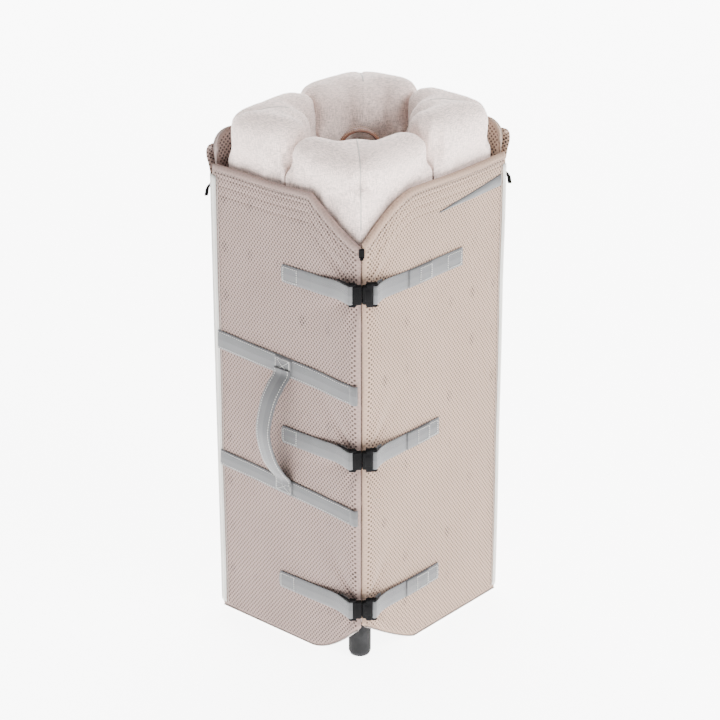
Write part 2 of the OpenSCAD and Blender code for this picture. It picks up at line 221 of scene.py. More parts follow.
def rbox(name, lo, hi, r, mat=None, seg=3, xform=None):
    """Box with rounded edges, in its own mesh; xform places it."""
    bm = bmesh.new()
    bmesh.ops.create_cube(bm, size=1)
    lo, hi = Vector(lo), Vector(hi)
    for v in bm.verts:
        v.co = Vector([(lo[i] + hi[i]) / 2 + v.co[i] * (hi[i] - lo[i]) for i in range(3)])
    bmesh.ops.bevel(bm, geom=bm.edges[:], offset=r, segments=seg, profile=0.5, affect="EDGES", clamp_overlap=True)
    if xform is not None:
        bmesh.ops.transform(bm, matrix=xform, verts=bm.verts)
    me = bpy.data.meshes.new(name)
    bm.to_mesh(me)
    bm.free()
    me.polygons.foreach_set("use_smooth", [True] * len(me.polygons))
    o = bpy.data.objects.new(name, me)
    SCN.collection.objects.link(o)
    if mat:
        me.materials.append(mat)
    return o


# ---------------------------------------------------------------- materials
class NT:
    """Small helper for node materials."""

    def __init__(self, name):
        self.mat = bpy.data.materials.new(name)
        self.mat.use_nodes = True
        self.t = self.mat.node_tree
        self.b = self.t.nodes["Principled BSDF"]

    def n(self, kind, **props):
        x = self.t.nodes.new(kind)
        for k, v in props.items():
            setattr(x, k, v)
        return x

    def link(self, a, b):
        self.t.links.new(a, b)

    def val(self, sock, v):
        if hasattr(v, "default_value") or isinstance(v, bpy.types.NodeSocket):
            self.link(v, sock)
        else:
            sock.default_value = v

    def math(self, op, a, b=None, c=None, clamp=False):
        x = self.n("ShaderNodeMath", operation=op, use_clamp=clamp)
        self.val(x.inputs[0], a)
        if b is not None:
            self.val(x.inputs[1], b)
        if c is not None:
            self.val(x.inputs[2], c)
        return x.outputs[0]

    def mix(self, f, a, b, blend="MIX"):
        x = self.n("ShaderNodeMix", data_type="RGBA", blend_type=blend)
        self.val(x.inputs[0], f)
        self.val(x.inputs[6], a if isinstance(a, bpy.types.NodeSocket) else (*a[:3], 1))
        self.val(x.inputs[7], b if isinstance(b, bpy.types.NodeSocket) else (*b[:3], 1))
        return x.outputs[2]

    def smoothstep(self, x, a, b):
        m = self.n("ShaderNodeMapRange", interpolation_type="SMOOTHSTEP")
        self.val(m.inputs[0], x)
        m.inputs[1].default_value = a
        m.inputs[2].default_value = b
        m.inputs[3].default_value = 0
        m.inputs[4].default_value = 1
        return m.outputs[0]

    def obj(self):
        return self.n("ShaderNodeTexCoord").outputs["Object"]

    def uv(self):
        return self.n("ShaderNodeTexCoord").outputs["UV"]

    def sep(self, v):
        x = self.n("ShaderNodeSeparateXYZ")
        self.link(v, x.inputs[0])
        return x.outputs

    def noise(self, vec, scale, detail=3, rough=0.5, out="Fac"):
        x = self.n("ShaderNodeTexNoise")
        self.link(vec, x.inputs["Vector"])
        x.inputs["Scale"].default_value = scale
        x.inputs["Detail"].default_value = detail
        x.inputs["Roughness"].default_value = rough
        return x.outputs[out]

    def attr(self, name):
        return self.n("ShaderNodeAttribute", attribute_name=name).outputs["Fac"]

    def bump(self, height, strength, dist, normal=None):
        x = self.n("ShaderNodeBump")
        x.inputs["Strength"].default_value = strength
        x.inputs["Distance"].default_value = dist
        self.link(height, x.inputs["Height"])
        if normal is not None:
            self.link(normal, x.inputs["Normal"])
        return x.outputs[0]

    def done(self, color=None, rough=None, normal=None, sheen=None, sheen_rough=0.5, spec=None, metal=None, coat=None):
        b = self.b
        if color is not None:
            if isinstance(color, bpy.types.NodeSocket):
                self.link(color, b.inputs["Base Color"])
            else:
                b.inputs["Base Color"].default_value = (*color, 1)
        if rough is not None:
            self.val(b.inputs["Roughness"], rough)
        if normal is not None:
            self.link(normal, b.inputs["Normal"])
        if sheen is not None:
            b.inputs["Sheen Weight"].default_value = sheen
            b.inputs["Sheen Roughness"].default_value = sheen_rough
        if spec is not None:
            b.inputs["Specular IOR Level"].default_value = spec
        if metal is not None:
            b.inputs["Metallic"].default_value = metal
        if coat is not None:
            b.inputs["Coat Weight"].default_value = coat
        return self.mat


def mat_spacer(name, base, dark, pitch=0.0050):
    """Spacer mesh: a diagonal lattice of small holes, with sparse clusters of larger ones; plain where 'plain' is 1."""
    m = NT(name)
    uv = m.sep(m.uv())
    u, v = uv[0], uv[1]
    s = 1 / pitch
    a = m.math("MULTIPLY", m.math("ADD", u, m.math("MULTIPLY", v, 0.80)), s * 0.82)
    b = m.math("MULTIPLY", m.math("SUBTRACT", u, m.math("MULTIPLY", v, 0.80)), s * 0.82)
    fa = m.math("SUBTRACT", m.math("FRACT", a), 0.5)
    fb = m.math("SUBTRACT", m.math("FRACT", b), 0.5)
    r = m.math("SQRT", m.math("ADD", m.math("MULTIPLY", fa, fa), m.math("MULTIPLY", fb, fb)))
    # clusters of bigger, darker holes on a diamond lattice
    ca = m.math("SINE", m.math("MULTIPLY", m.math("ADD", m.math("MULTIPLY", u, 62.0), m.math("MULTIPLY", v, 41.0)), 1.0))
    cb = m.math("SINE", m.math("MULTIPLY", m.math("SUBTRACT", m.math("MULTIPLY", u, 62.0), m.math("MULTIPLY", v, 41.0)), 1.0))
    cl = m.math("MULTIPLY", m.smoothstep(m.math("MULTIPLY", ca, cb), 0.76, 0.96), m.smoothstep(m.noise(m.obj(), 13.0, 2, 0.5), 0.42, 0.62))
    edge = m.math("ADD", 0.31, m.math("MULTIPLY", cl, 0.05))
    hole = m.math("SUBTRACT", 1.0, m.smoothstep(m.math("SUBTRACT", r, edge), -0.07, 0.09))
    plain = m.attr("plain")
    hole = m.math("MULTIPLY", hole, m.math("SUBTRACT", 1.0, m.math("MULTIPLY", plain, 0.8)))
    co = m.obj()
    big = m.noise(co, 9.0, 3, 0.55)
    fine = m.noise(co, 900.0, 2, 0.6)
    base2 = m.mix(m.smoothstep(big, 0.30, 0.70), tuple(0.95 * c for c in base), tuple(min(1, 1.05 * c) for c in base))
    base3 = m.mix(m.math("MULTIPLY", fine, 0.22), base2, tuple(0.72 * c for c in base))
    # woven tape where it is plain
    wv = m.math("ADD", m.math("SINE", m.math("MULTIPLY", u, 2 * math.pi / 0.0011)), m.math("SINE", m.math("MULTIPLY", v, 2 * math.pi / 0.0013)))
    base4 = m.mix(m.math("MULTIPLY", plain, m.math("MULTIPLY", m.smoothstep(wv, -1.5, 1.5), 0.10)), base3, tuple(0.6 * c for c in base))
    depth = m.math("MULTIPLY", hole, m.math("ADD", 0.84, m.math("MULTIPLY", cl, 0.16)))
    col = m.mix(depth, base4, dark)
    h = m.math("SUBTRACT", m.math("MULTIPLY", m.math("MULTIPLY", wv, plain), 0.12), hole)
    nrm = m.bump(h, 0.75, 0.0010)
    nrm = m.bump(fine, 0.10, 0.0004, nrm)
    return m.done(col, 0.88, nrm, sheen=0.12, sheen_rough=0.5, spec=0.2)


def mat_heather(name, base):
    """Soft heather weave: fine crossed threads with lighter and darker slubs."""
    m = NT(name)
    co = m.obj()
    x = m.sep(co)
    t1 = m.n("ShaderNodeTexNoise")
    mp = m.n("ShaderNodeMapping")
    m.link(co, mp.inputs["Vector"])
    mp.inputs["Scale"].default_value = (1100, 1100, 120)
    m.link(mp.outputs[0], t1.inputs["Vector"])
    t1.inputs["Scale"].default_value = 1.0
    t1.inputs["Detail"].default_value = 2.0
    t2 = m.n("ShaderNodeTexNoise")
    mp2 = m.n("ShaderNodeMapping")
    m.link(co, mp2.inputs["Vector"])
    mp2.inputs["Scale"].default_value = (160, 160, 1300)
    m.link(mp2.outputs[0], t2.inputs["Vector"])
    t2.inputs["Scale"].default_value = 1.0
    t2.inputs["Detail"].default_value = 2.0
    thr = m.math("ADD", m.math("MULTIPLY", t1.outputs["Fac"], 0.5), m.math("MULTIPLY", t2.outputs["Fac"], 0.5))
    slub = m.smoothstep(thr, 0.40, 0.60)
    big = m.noise(co, 14.0, 3, 0.5)
    c1 = m.mix(slub, tuple(0.60 * c for c in base), tuple(min(1.0, 1.14 * c) for c in base))
    c2 = m.mix(m.math("MULTIPLY", m.smoothstep(big, 0.35, 0.7), 0.35), c1, tuple(0.93 * c for c in base))
    # weave ribs from object coordinates
    w = m.math("MULTIPLY", m.math("SINE", m.math("MULTIPLY", m.math("ADD", x[0], x[1]), 2 * math.pi / 0.0016)),
               m.math("SINE", m.math("MULTIPLY", x[2], 2 * math.pi / 0.0016)))
    nrm = m.bump(w, 0.10, 0.0005)
    nrm = m.bump(thr, 0.30, 0.0006, nrm)
    return m.done(c2, 0.92, nrm, sheen=0.25, sheen_rough=0.45, spec=0.15)


def mat_webbing(name, base, rib=0.0012):
    """Flat webbing: fine lengthwise ribs crossed by weft, a slightly darker half and pale threads."""
    m = NT(name)
    uv = m.sep(m.uv())
    u, v = uv[0], uv[1]
    warp = m.math("SINE", m.math("MULTIPLY", v, 2 * math.pi / rib))
    herr = m.math("SINE", m.math("MULTIPLY", m.math("ADD", u, m.math("MULTIPLY", m.math("ABSOLUTE", v), 1.2)), 2 * math.pi / 0.0019))
    co = m.obj()
    fine = m.noise(co, 1400.0, 2, 0.6)
    big = m.noise(co, 22.0, 2, 0.5)
    w = m.math("ADD", m.math("MULTIPLY", warp, 0.5), m.math("MULTIPLY", herr, 0.5))
    c1 = m.mix(m.smoothstep(w, -0.9, 0.9), tuple(0.84 * c for c in base), tuple(min(1, 1.06 * c) for c in base))
    half = m.smoothstep(v, -0.0010, 0.0010)
    c2 = m.mix(m.math("MULTIPLY", half, 0.60), c1, tuple(0.52 * c for c in base))
    c3 = m.mix(m.math("MULTIPLY", fine, 0.25), c2, tuple(0.75 * c for c in base))
    c4 = m.mix(m.math("MULTIPLY", m.smoothstep(big, 0.4, 0.7), 0.16), c3, tuple(min(1, 1.12 * c) for c in base))
    nrm = m.bump(w, 0.35, 0.0006)
    nrm = m.bump(fine, 0.12, 0.0004, nrm)
    return m.done(c4, 0.62, nrm, sheen=0.20, sheen_rough=0.4, spec=0.35)


def mat_plastic(name, base, rough=0.42, grain=2200.0, strength=0.12):
    m = NT(name)
    co = m.obj()
    g = m.noise(co, grain, 2, 0.6)
    big = m.noise(co, 45.0, 3, 0.6)
    col = m.mix(m.math("MULTIPLY", m.smoothstep(big, 0.35, 0.75), 0.35), base, tuple(1.45 * c + 0.004 for c in base))
    geo = m.n("ShaderNodeNewGeometry")
    # colour made lighter on convex edges, found by pointiness
    convex_edge_mask = m.smoothstep(geo.outputs["Pointiness"], 0.53, 0.62)
    col = m.mix(m.math("MULTIPLY", convex_edge_mask, 0.15), col, tuple(2.4 * c + 0.03 for c in base))
    r = m.math("ADD", rough - 0.06, m.math("MULTIPLY", big, 0.12))
    return m.done(col, r, m.bump(g, strength, 0.0003), spec=0.05)


def mat_tube(name, base):
    """Powder coat: fine orange peel, lighter along convex edges."""
    m = NT(name)
    co = m.obj()
    g = m.noise(co, 1500.0, 3, 0.55)
    big = m.noise(co, 30.0, 3, 0.5)
    geo = m.n("ShaderNodeNewGeometry")
    # colour made lighter on convex edges, found by pointiness
    convex_edge_mask = m.smoothstep(geo.outputs["Pointiness"], 0.54, 0.64)
    col = m.mix(m.math("MULTIPLY", m.smoothstep(big, 0.3, 0.75), 0.3), base, tuple(0.86 * c for c in base))
    col = m.mix(m.math("MULTIPLY", convex_edge_mask, 0.5), col, tuple(min(1, c * 1.5 + 0.05) for c in base))
    r = m.math("ADD", 0.34, m.math("MULTIPLY", g, 0.16))
    return m.done(col, r, m.bump(g, 0.10, 0.0003), metal=0.35, spec=0.5)


def mat_leather(name, base):
    m = NT(name)
    co = m.obj()
    v = m.n("ShaderNodeTexVoronoi", feature="DISTANCE_TO_EDGE")
    m.link(co, v.inputs["Vector"])
    v.inputs["Scale"].default_value = 900.0
    g = m.smoothstep(v.outputs["Distance"], 0.0, 0.35)
    big = m.noise(co, 60.0, 4, 0.6)
    col = m.mix(m.smoothstep(big, 0.3, 0.7), tuple(0.75 * c for c in base), tuple(1.3 * c for c in base))
    col = m.mix(m.math("MULTIPLY", m.math("SUBTRACT", 1.0, g), 0.4), col, tuple(0.5 * c for c in base))
    r = m.math("ADD", 0.40, m.math("MULTIPLY", big, 0.15))
    return m.done(col, r, m.bump(g, 0.35, 0.0004), spec=0.5)


def mat_rubber(name, base):
    m = NT(name)
    co = m.obj()
    g = m.noise(co, 1200.0, 3, 0.6)
    big = m.noise(co, 40.0, 3, 0.6)
    col = m.mix(m.math("MULTIPLY", m.smoothstep(big, 0.4, 0.75), 0.5), base, tuple(2.2 * c + 0.01 for c in base))
    return m.done(col, m.math("ADD", 0.6, m.math("MULTIPLY", big, 0.2)), m.bump(g, 0.25, 0.0004), spec=0.12)


def mat_net(name, base):
    """Open knitted net: cells cut out with transparency."""
    m = NT(name)
    uv = m.sep(m.uv())
    s = 1 / 0.0030
    a = m.math("SUBTRACT", m.math("FRACT", m.math("MULTIPLY", m.math("ADD", uv[0], uv[1]), s)), 0.5)
    b = m.math("SUBTRACT", m.math("FRACT", m.math("MULTIPLY", m.math("SUBTRACT", uv[0], uv[1]), s)), 0.5)
    r = m.math("MAXIMUM", m.math("ABSOLUTE", a), m.math("ABSOLUTE", b))
    thread = m.smoothstep(r, 0.26, 0.34)
    solid = m.attr("plain")
    alpha = m.math("MAXIMUM", m.math("ADD", 0.12, m.math("MULTIPLY", thread, 0.88)), solid)
    co = m.obj()
    fine = m.noise(co, 900.0, 2, 0.6)
    col = m.mix(m.math("MULTIPLY", fine, 0.3), base, tuple(0.7 * c for c in base))
    m.link(alpha, m.b.inputs["Alpha"])
    return m.done(col, 0.9, m.bump(thread, 0.3, 0.0004), sheen=0.1, spec=0.15)


def mat_thread(name, base):
    m = NT(name)
    co = m.obj()
    tw = m.noise(co, 2500.0, 2, 0.5)
    col = m.mix(tw, tuple(0.8 * c for c in base), tuple(min(1, 1.1 * c) for c in base))
    return m.done(col, 0.6, m.bump(tw, 0.3, 0.0002), spec=0.3)


# one spacer mesh in two copies: the right-hand copy is lighter and warmer as painted light from the key on the right,
# the left-hand copy darker as painted shade
SHADED_MESH_LEFT = (0.262, 0.186, 0.162)
LIT_MESH_RIGHT = (0.350, 0.240, 0.178)
M_SHADED_MESH_L = mat_spacer("spacer_mesh_shaded_left", SHADED_MESH_LEFT, (0.028, 0.019, 0.016))
M_LIT_MESH_R = mat_spacer("spacer_mesh_lit_right", LIT_MESH_RIGHT, (0.034, 0.023, 0.017))
M_HEATHER = mat_heather("heather_corner_fabric", (0.80, 0.652, 0.598))
M_WEB = mat_webbing("grey_webbing", (0.100, 0.101, 0.104))
M_BUCKLE = mat_plastic("black_buckle_plastic", (0.0026, 0.0026, 0.0029), 0.60)
M_FRAMEPL = mat_plastic("frame_plastic", (0.030, 0.030, 0.032), 0.48, 1500.0, 0.2)
M_BUTTON = mat_plastic("button_plastic", (0.10, 0.10, 0.105), 0.38)
M_TUBE = mat_tube("powder_coated_tube", (0.30, 0.285, 0.27))
M_LEATHER = mat_leather("brown_leather", (0.130, 0.042, 0.018))
M_RUBBER = mat_rubber("foot_rubber", (0.009, 0.009, 0.0095))
M_NET = mat_net("side_netting", (0.50, 0.46, 0.42))
M_TAPE = mat_webbing("zip_tape", (0.56, 0.545, 0.51), 0.0009)
M_THREAD = mat_thread("pale_thread", (0.62, 0.60, 0.57))
M_THREAD_D = mat_thread("taupe_thread", (0.33, 0.28, 0.25))
M_SEAM = mat_thread("seam_cloth", (0.43, 0.385, 0.36))
M_THREAD_B = mat_thread("brown_thread", (0.42, 0.24, 0.13))
M_BIND = mat_webbing("edge_binding", (0.40, 0.345, 0.31), 0.0010)

# ---------------------------------------------------------------- stage, light, camera
def stage_and_camera():
    m = NT("studio_floor")
    g = m.noise(m.obj(), 6.0, 2, 0.5)
    col = m.mix(m.math("MULTIPLY", g, 0.02), (0.93, 0.93, 0.93), (0.90, 0.90, 0.90))
    m.done(col, 0.9, spec=0.1)
    m.b.inputs["Emission Color"].default_value = (1, 1, 1, 1)
    m.b.inputs["Emission Strength"].default_value = 6.6
    # floor with a swept back wall
    prof = [(-6.0, 0.0), (5.0, 0.0)]
    prof += [(5.0 + 1.5 * math.sin(a), 1.5 - 1.5 * math.cos(a)) for a in np.linspace(0.1, math.pi / 2, 12)]
    prof += [(6.5, 6.0)]
    az = math.radians(41.08)
    fwd = Vector((-math.sin(az), math.cos(az), 0))
    rt = Vector((math.cos(az), math.sin(az), 0))
    vs, fs = [], []
    for d, z in prof:
        for w in (-8, 8):
            p = fwd * d + rt * w
            vs.append((p.x + OX, p.y + OY, z - 0.0002))
    for i in range(len(prof) - 1):
        fs.append((2 * i, 2 * i + 1, 2 * i + 3, 2 * i + 2))
    floor = make_obj("studio_floor", vs, fs, mat=m.mat)
    w = SCN.world or bpy.data.worlds.new("World")
    SCN.world = w
    w.use_nodes = True
    bg = w.node_tree.nodes.get("Background")
    bg.inputs[0].default_value = (1.0, 1.0, 1.0, 1)
    bg.inputs[1].default_value = 0.52

    def area(name, loc, target, size, power, color=(1, 1, 1)):
        l = bpy.data.lights.new(name, "AREA")
        l.shape = "RECTANGLE"
        l.size, l.size_y = size
        l.energy = power
        l.color = color
        o = bpy.data.objects.new(name, l)
        o.location = loc
        o.rotation_euler = (Vector(target) - Vector(loc)).to_track_quat("-Z", "Y").to_euler()
        SCN.collection.objects.link(o)
        return o

    c = W(0, 0, 0.4)
    # key from the right front above, fill from the left, top softbox
    area("key", c + rt * 2.6 - fwd * 2.2 + Vector((0, 0, 2.4)), c, (1.6, 1.6), 185)
    area("fill", c - rt * 3.0 - fwd * 1.6 + Vector((0, 0, 1.6)), c, (2.0, 2.0), 22)
    area("top", c + fwd * 0.4 + Vector((0, 0, 3.4)), c, (2.4, 2.4), 70)
    cam = bpy.data.cameras.new("camera")
    az, el = math.radians(41.08), math.radians(23.66)
    back = Vector((math.sin(az) * math.cos(el), -math.cos(az) * math.cos(el), math.sin(el)))
    co = bpy.data.objects.new("camera", cam)
    co.location = W(0, 0, 0.412) + back * 3.555
    co.rotation_mode = "QUATERNION"
    co.rotation_quaternion = (-back).to_track_quat("-Z", "Y")
    cam.sensor_width = 36.0
    cam.lens = 2337.4 / 720 * 36.0
    cam.clip_start, cam.clip_end = 0.1, 60
    SCN.collection.objects.link(co)
    SCN.camera = co


stage_and_camera()

# ---------------------------------------------------------------- cover panels
BUCKLE_Z = [(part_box("buckle_plug_" + k)[0].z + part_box("buckle_plug_" + k)[1].z) / 2 for k in ("bottom", "middle", "top")]
BZ = [0.097, 0.344, 0.602]                  # heights of the sewn straps


def f_soft(u):
    u = np.clip(u, 0, 1.2)
    return 0.5 * u + 0.5 * np.sin(np.clip(u, 0, 1) * math.pi / 2)


def late(u, p):
    return np.power(np.clip(u, 0, 1.2), p)


def edge_prof(d, e):
    x = 1 - np.clip(d / e, 0, 1)
    return np.sqrt(np.clip(1 - x * x, 0, 1))


class Panel:
    """A padded panel: s runs from its far edge (0) to the end at W, n is outward."""

    def __init__(self, kind):
        self.kind = kind
        self.arc = FR - PT / 2
        if kind == "A":
            self.straight = 2 * XO - FR
        elif kind == "D":
            self.straight = 2 * YO - FR
        elif kind == "B":
            self.straight = 2 * YI - 0.0010
        else:
            self.straight = XI + XO - 0.0008
        self.W = self.straight + (self.arc * math.pi / 4 - 0.0004 if kind in "AD" else 0)

    def pos(self, s, n):
        """Plan position (x, y) and outward direction, in design coordinates."""
        s = np.asarray(s, float)
        n = np.asarray(n, float)
        st = self.straight
        if self.kind == "A":
            x = np.minimum(s, st) - XO
            y = np.full_like(x, -YO + PT / 2)
            a = np.clip((s - st) / self.arc, 0, None)
            nx, ny = np.sin(a), -np.cos(a)
            x = x + self.arc * np.sin(a)
            y = y + self.arc * (1 - np.cos(a))
        elif self.kind == "D":
            y = YO - np.minimum(s, st)
            x = np.full_like(y, XO - PT / 2)
            a = np.clip((s - st) / self.arc, 0, None)
            nx, ny = np.cos(a), -np.sin(a)
            y = y - self.arc * np.sin(a)
            x = x - self.arc * (1 - np.cos(a))
        elif self.kind == "B":
            y = -YI + 0.0005 + s
            x = np.full_like(y, -XO + PT / 2)
            nx, ny = -np.ones_like(y), np.zeros_like(y)
        else:
            x = XI - 0.0005 - s
            y = np.full_like(x, YO - PT / 2)
            nx, ny = np.zeros_like(x), np.ones_like(x)
        return x + nx * n, y + ny * n, nx, ny

    def top(self, s):
        if self.kind == "A":
            u = (s - (2 * XO - 0.100)) / 0.101
            return ZTOP - 0.0015 - 0.062 * f_soft(u) * (u > 0) + 0.0012 * np.sin(s * 31 + 1)
        if self.kind == "D":
            u = (s - (2 * YO - 0.118)) / 0.119
            return ZTOP - 0.0015 - 0.062 * late(u, 1.6) * (u > 0) + 0.0012 * np.sin(s * 27 + 2)
        # back panels: rounded towards the left and right corners
        r = 0.032
        d = np.clip(s, 0, r)
        drop = r - np.sqrt(np.clip(r * r - (r - d) ** 2, 0, None))
        return ZBACK - 0.0010 - np.minimum(drop, ZBACK - ZTOP)

    def low(self, s):
        if self.kind == "A":
            u = (s - (2 * XO - 0.102)) / 0.103
            return ZLOW + 0.0002 + 0.073 * late(u, 1.7) * (u > 0)
        if self.kind == "D":
            u = (s - (2 * YO - 0.123)) / 0.124
            return ZLOW + 0.0002 + 0.073 * late(u, 1.2) * (u > 0)
        return ZLOW + 0.0002 + 0 * s

    def bulge(self, s, z, dt, db):
        """Outward shape of the outer face."""
        out = 0.0012 * noise2(s * 22, z * 13, {"A": 3, "D": 5, "B": 7, "C": 9}[self.kind])
        # seams parallel to the top edge
        for d0, dep, w in ((0.0098, 0.0013, 0.0014), (0.0165, 0.0009, 0.0015), (0.0290, 0.0009, 0.0016), (0.0430, 0.0008, 0.0016)):
            out = out - dep * np.exp(-((dt - d0) / w) ** 2)
        if self.kind in "AD":
            e = self.W - s
            for i, bz in enumerate(BZ):
                ds, dz = e, z - bz
                r = np.sqrt(ds * ds + dz * dz)
                ang = np.arctan2(dz, ds)
                out = out - 0.0060 * np.exp(-(r / 0.028) ** 2)
                wob = np.cos(9 * ang + 1.3 * i + (0 if self.kind == "A" else 0.8)) + 0.6 * np.cos(15 * ang + 2.1 * i)
                out = out + 0.0026 * wob * np.exp(-r / 0.046) * smooth(0.010, 0.034, r)
            # soft swell between the buckles close to the corner
            for a, b in ((0.10, 0.344), (0.344, 0.602)):
                m = np.clip((z - a) / (b - a), 0, 1)
                out = out + 0.0034 * np.sin(m * math.pi) ** 2 * np.exp(-((e - 0.024) / 0.036) ** 2)
        if self.kind == "B":                   # the loose upper corner turns outwards
            out = out + 0.014 * smooth(0.050, 0.0, s) * smooth(ZTOP - 0.05, ZBACK - 0.01, z)
        if self.kind == "C":
            out = out + 0.012 * smooth(0.050, 0.0, s) * smooth(ZTOP - 0.05, ZBACK - 0.01, z)
        return out

    def grid(self, ns, nz):
        edge = np.array([0, 0.0006, 0.0014, 0.0025, 0.004, 0.006])
        far = np.array([0.0, 0.0006, 0.0014, 0.0025, 0.004, 0.006, 0.009])
        s = np.r_[far, np.linspace(0.011, self.W - 0.0075, ns), self.W - edge[::-1]]
        t_top = np.r_[0, 0.0006, 0.0014, 0.0025, 0.004, 0.006, np.arange(0.008, 0.050, 0.0014)]
        t_bot = np.array([0, 0.0006, 0.0014, 0.0025, 0.004, 0.006, 0.009])
        H = self.top(s) - self.low(s)
        hmax = 0.735
        mid = np.linspace(0.052 / hmax, 1 - 0.011 / hmax, nz)
        rows = []
        for k in range(len(t_top)):
            rows.append(self.top(s) - t_top[k])
        for m in mid:
            rows.append(self.top(s) - 0.052 - (m - mid[0]) / (mid[-1] - mid[0]) * (H - 0.052 - 0.011))
        for k in range(len(t_bot)):
            rows.append(self.low(s) + t_bot[::-1][k])
        return s, np.array(rows)

    def build(self, name, mat, ns=110, nz=230):
        s, Z = self.grid(ns, nz)
        S = np.broadcast_to(s, Z.shape)
        T, Lw = self.top(S), self.low(S)
        dt, db = T - Z, Z - Lw
        slope = np.gradient(self.top(s), s)
        slope_b = np.gradient(self.low(s), s)
        pt = dt / np.sqrt(1 + slope ** 2)[None, :]
        pb = db / np.sqrt(1 + slope_b ** 2)[None, :]
        dn, df = S, self.W - S
        e = 0.0065
        prof = edge_prof(pt, e) * edge_prof(pb, e) * edge_prof(dn, e) * edge_prof(df, e)
        prof = 0.12 + 0.88 * prof
        inside = edge_prof(pt, 0.02) * edge_prof(pb, 0.02)
        n_out = (PT / 2 - 0.0006) * prof + self.bulge(S, Z, pt, pb) * inside
        n_in = -(PT / 2 - 0.0003) * prof
        xo, yo, _, _ = self.pos(S, n_out)
        xi, yi, _, _ = self.pos(S, n_in)
        if self.kind in "BC":                  # both faces flare together
            fl = (0.014 if self.kind == "B" else 0.012) * smooth(0.050, 0.0, S) * smooth(ZTOP - 0.05, ZBACK - 0.01, Z)
            if self.kind == "B":
                xi = xi - fl
            else:
                yi = yi + fl
        nr, nc = Z.shape
        V = np.concatenate([np.stack([xo, yo, Z], -1).reshape(-1, 3), np.stack([xi, yi, Z], -1).reshape(-1, 3)])
        V[:, 0] += OX
        V[:, 1] += OY
        UV = np.concatenate([np.stack([S, Z], -1).reshape(-1, 2)] * 2)
        plain = 1 - smooth(0.0060, 0.0080, pt) * smooth(0.004, 0.006, np.minimum(np.minimum(pb, dn), df))
        plain = np.concatenate([plain.ravel()] * 2)
        N = nr * nc
        F = []
        for i in range(nr - 1):
            for j in range(nc - 1):
                a = i * nc + j
                F.append((a, a + 1, a + nc + 1, a + nc))
                F.append((N + a, N + a + nc, N + a + nc + 1, N + a + 1))
        for j in range(nc - 1):
            F.append((j, N + j, N + j + 1, j + 1))
            a = (nr - 1) * nc + j
            F.append((a, a + 1, N + a + 1, N + a))
        for i in range(nr - 1):
            a = i * nc
            F.append((a, a + nc, N + a + nc, N + a))
            a = i * nc + nc - 1
            F.append((a, N + a, N + a + nc, a + nc))
        o = make_obj(name, V, F, UV, {"plain": plain}, mat)
        return fix_normals(o)

    def point(self, s, z, lift=0.0):
        """A point on the outer face in the row frame, lifted off it by lift."""
        s = np.asarray(s, float)
        z = np.asarray(z, float)
        dt, db = self.top(s) - z, z - self.low(s)
        b = self.bulge(s, z, dt, db)
        x, y, nx, ny = self.pos(s, PT / 2 - 0.0006 + b + lift)
        return np.stack([x + OX, y + OY, z], -1)

    def normal(self, s):
        _, _, nx, ny = self.pos(s, 0 * np.asarray(s, float))
        return np.stack([nx, ny, 0 * nx], -1)


PA, PD, PB, PC = Panel("A"), Panel("D"), Panel("B"), Panel("C")
# left panels take the darker copy of the mesh as painted shade, right panels the lighter copy as painted light
panel_a = PA.build("cover_left_front", M_SHADED_MESH_L)
panel_d = PD.build("cover_right_front", M_LIT_MESH_R)
panel_b = PB.build("cover_left_back", M_SHADED_MESH_L, 70, 120)
panel_c = PC.build("cover_right_back", M_LIT_MESH_R, 70, 120)
for o, body, node in ((panel_a, "front_cover", "cover_panel_left_front"), (panel_d, "front_cover", "cover_panel_right_front"),
                      (panel_b, "back_cover", "cover_panel_left_back"), (panel_c, "back_flap", "cover_panel_right_back")):
    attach(o, body)
    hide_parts(node)

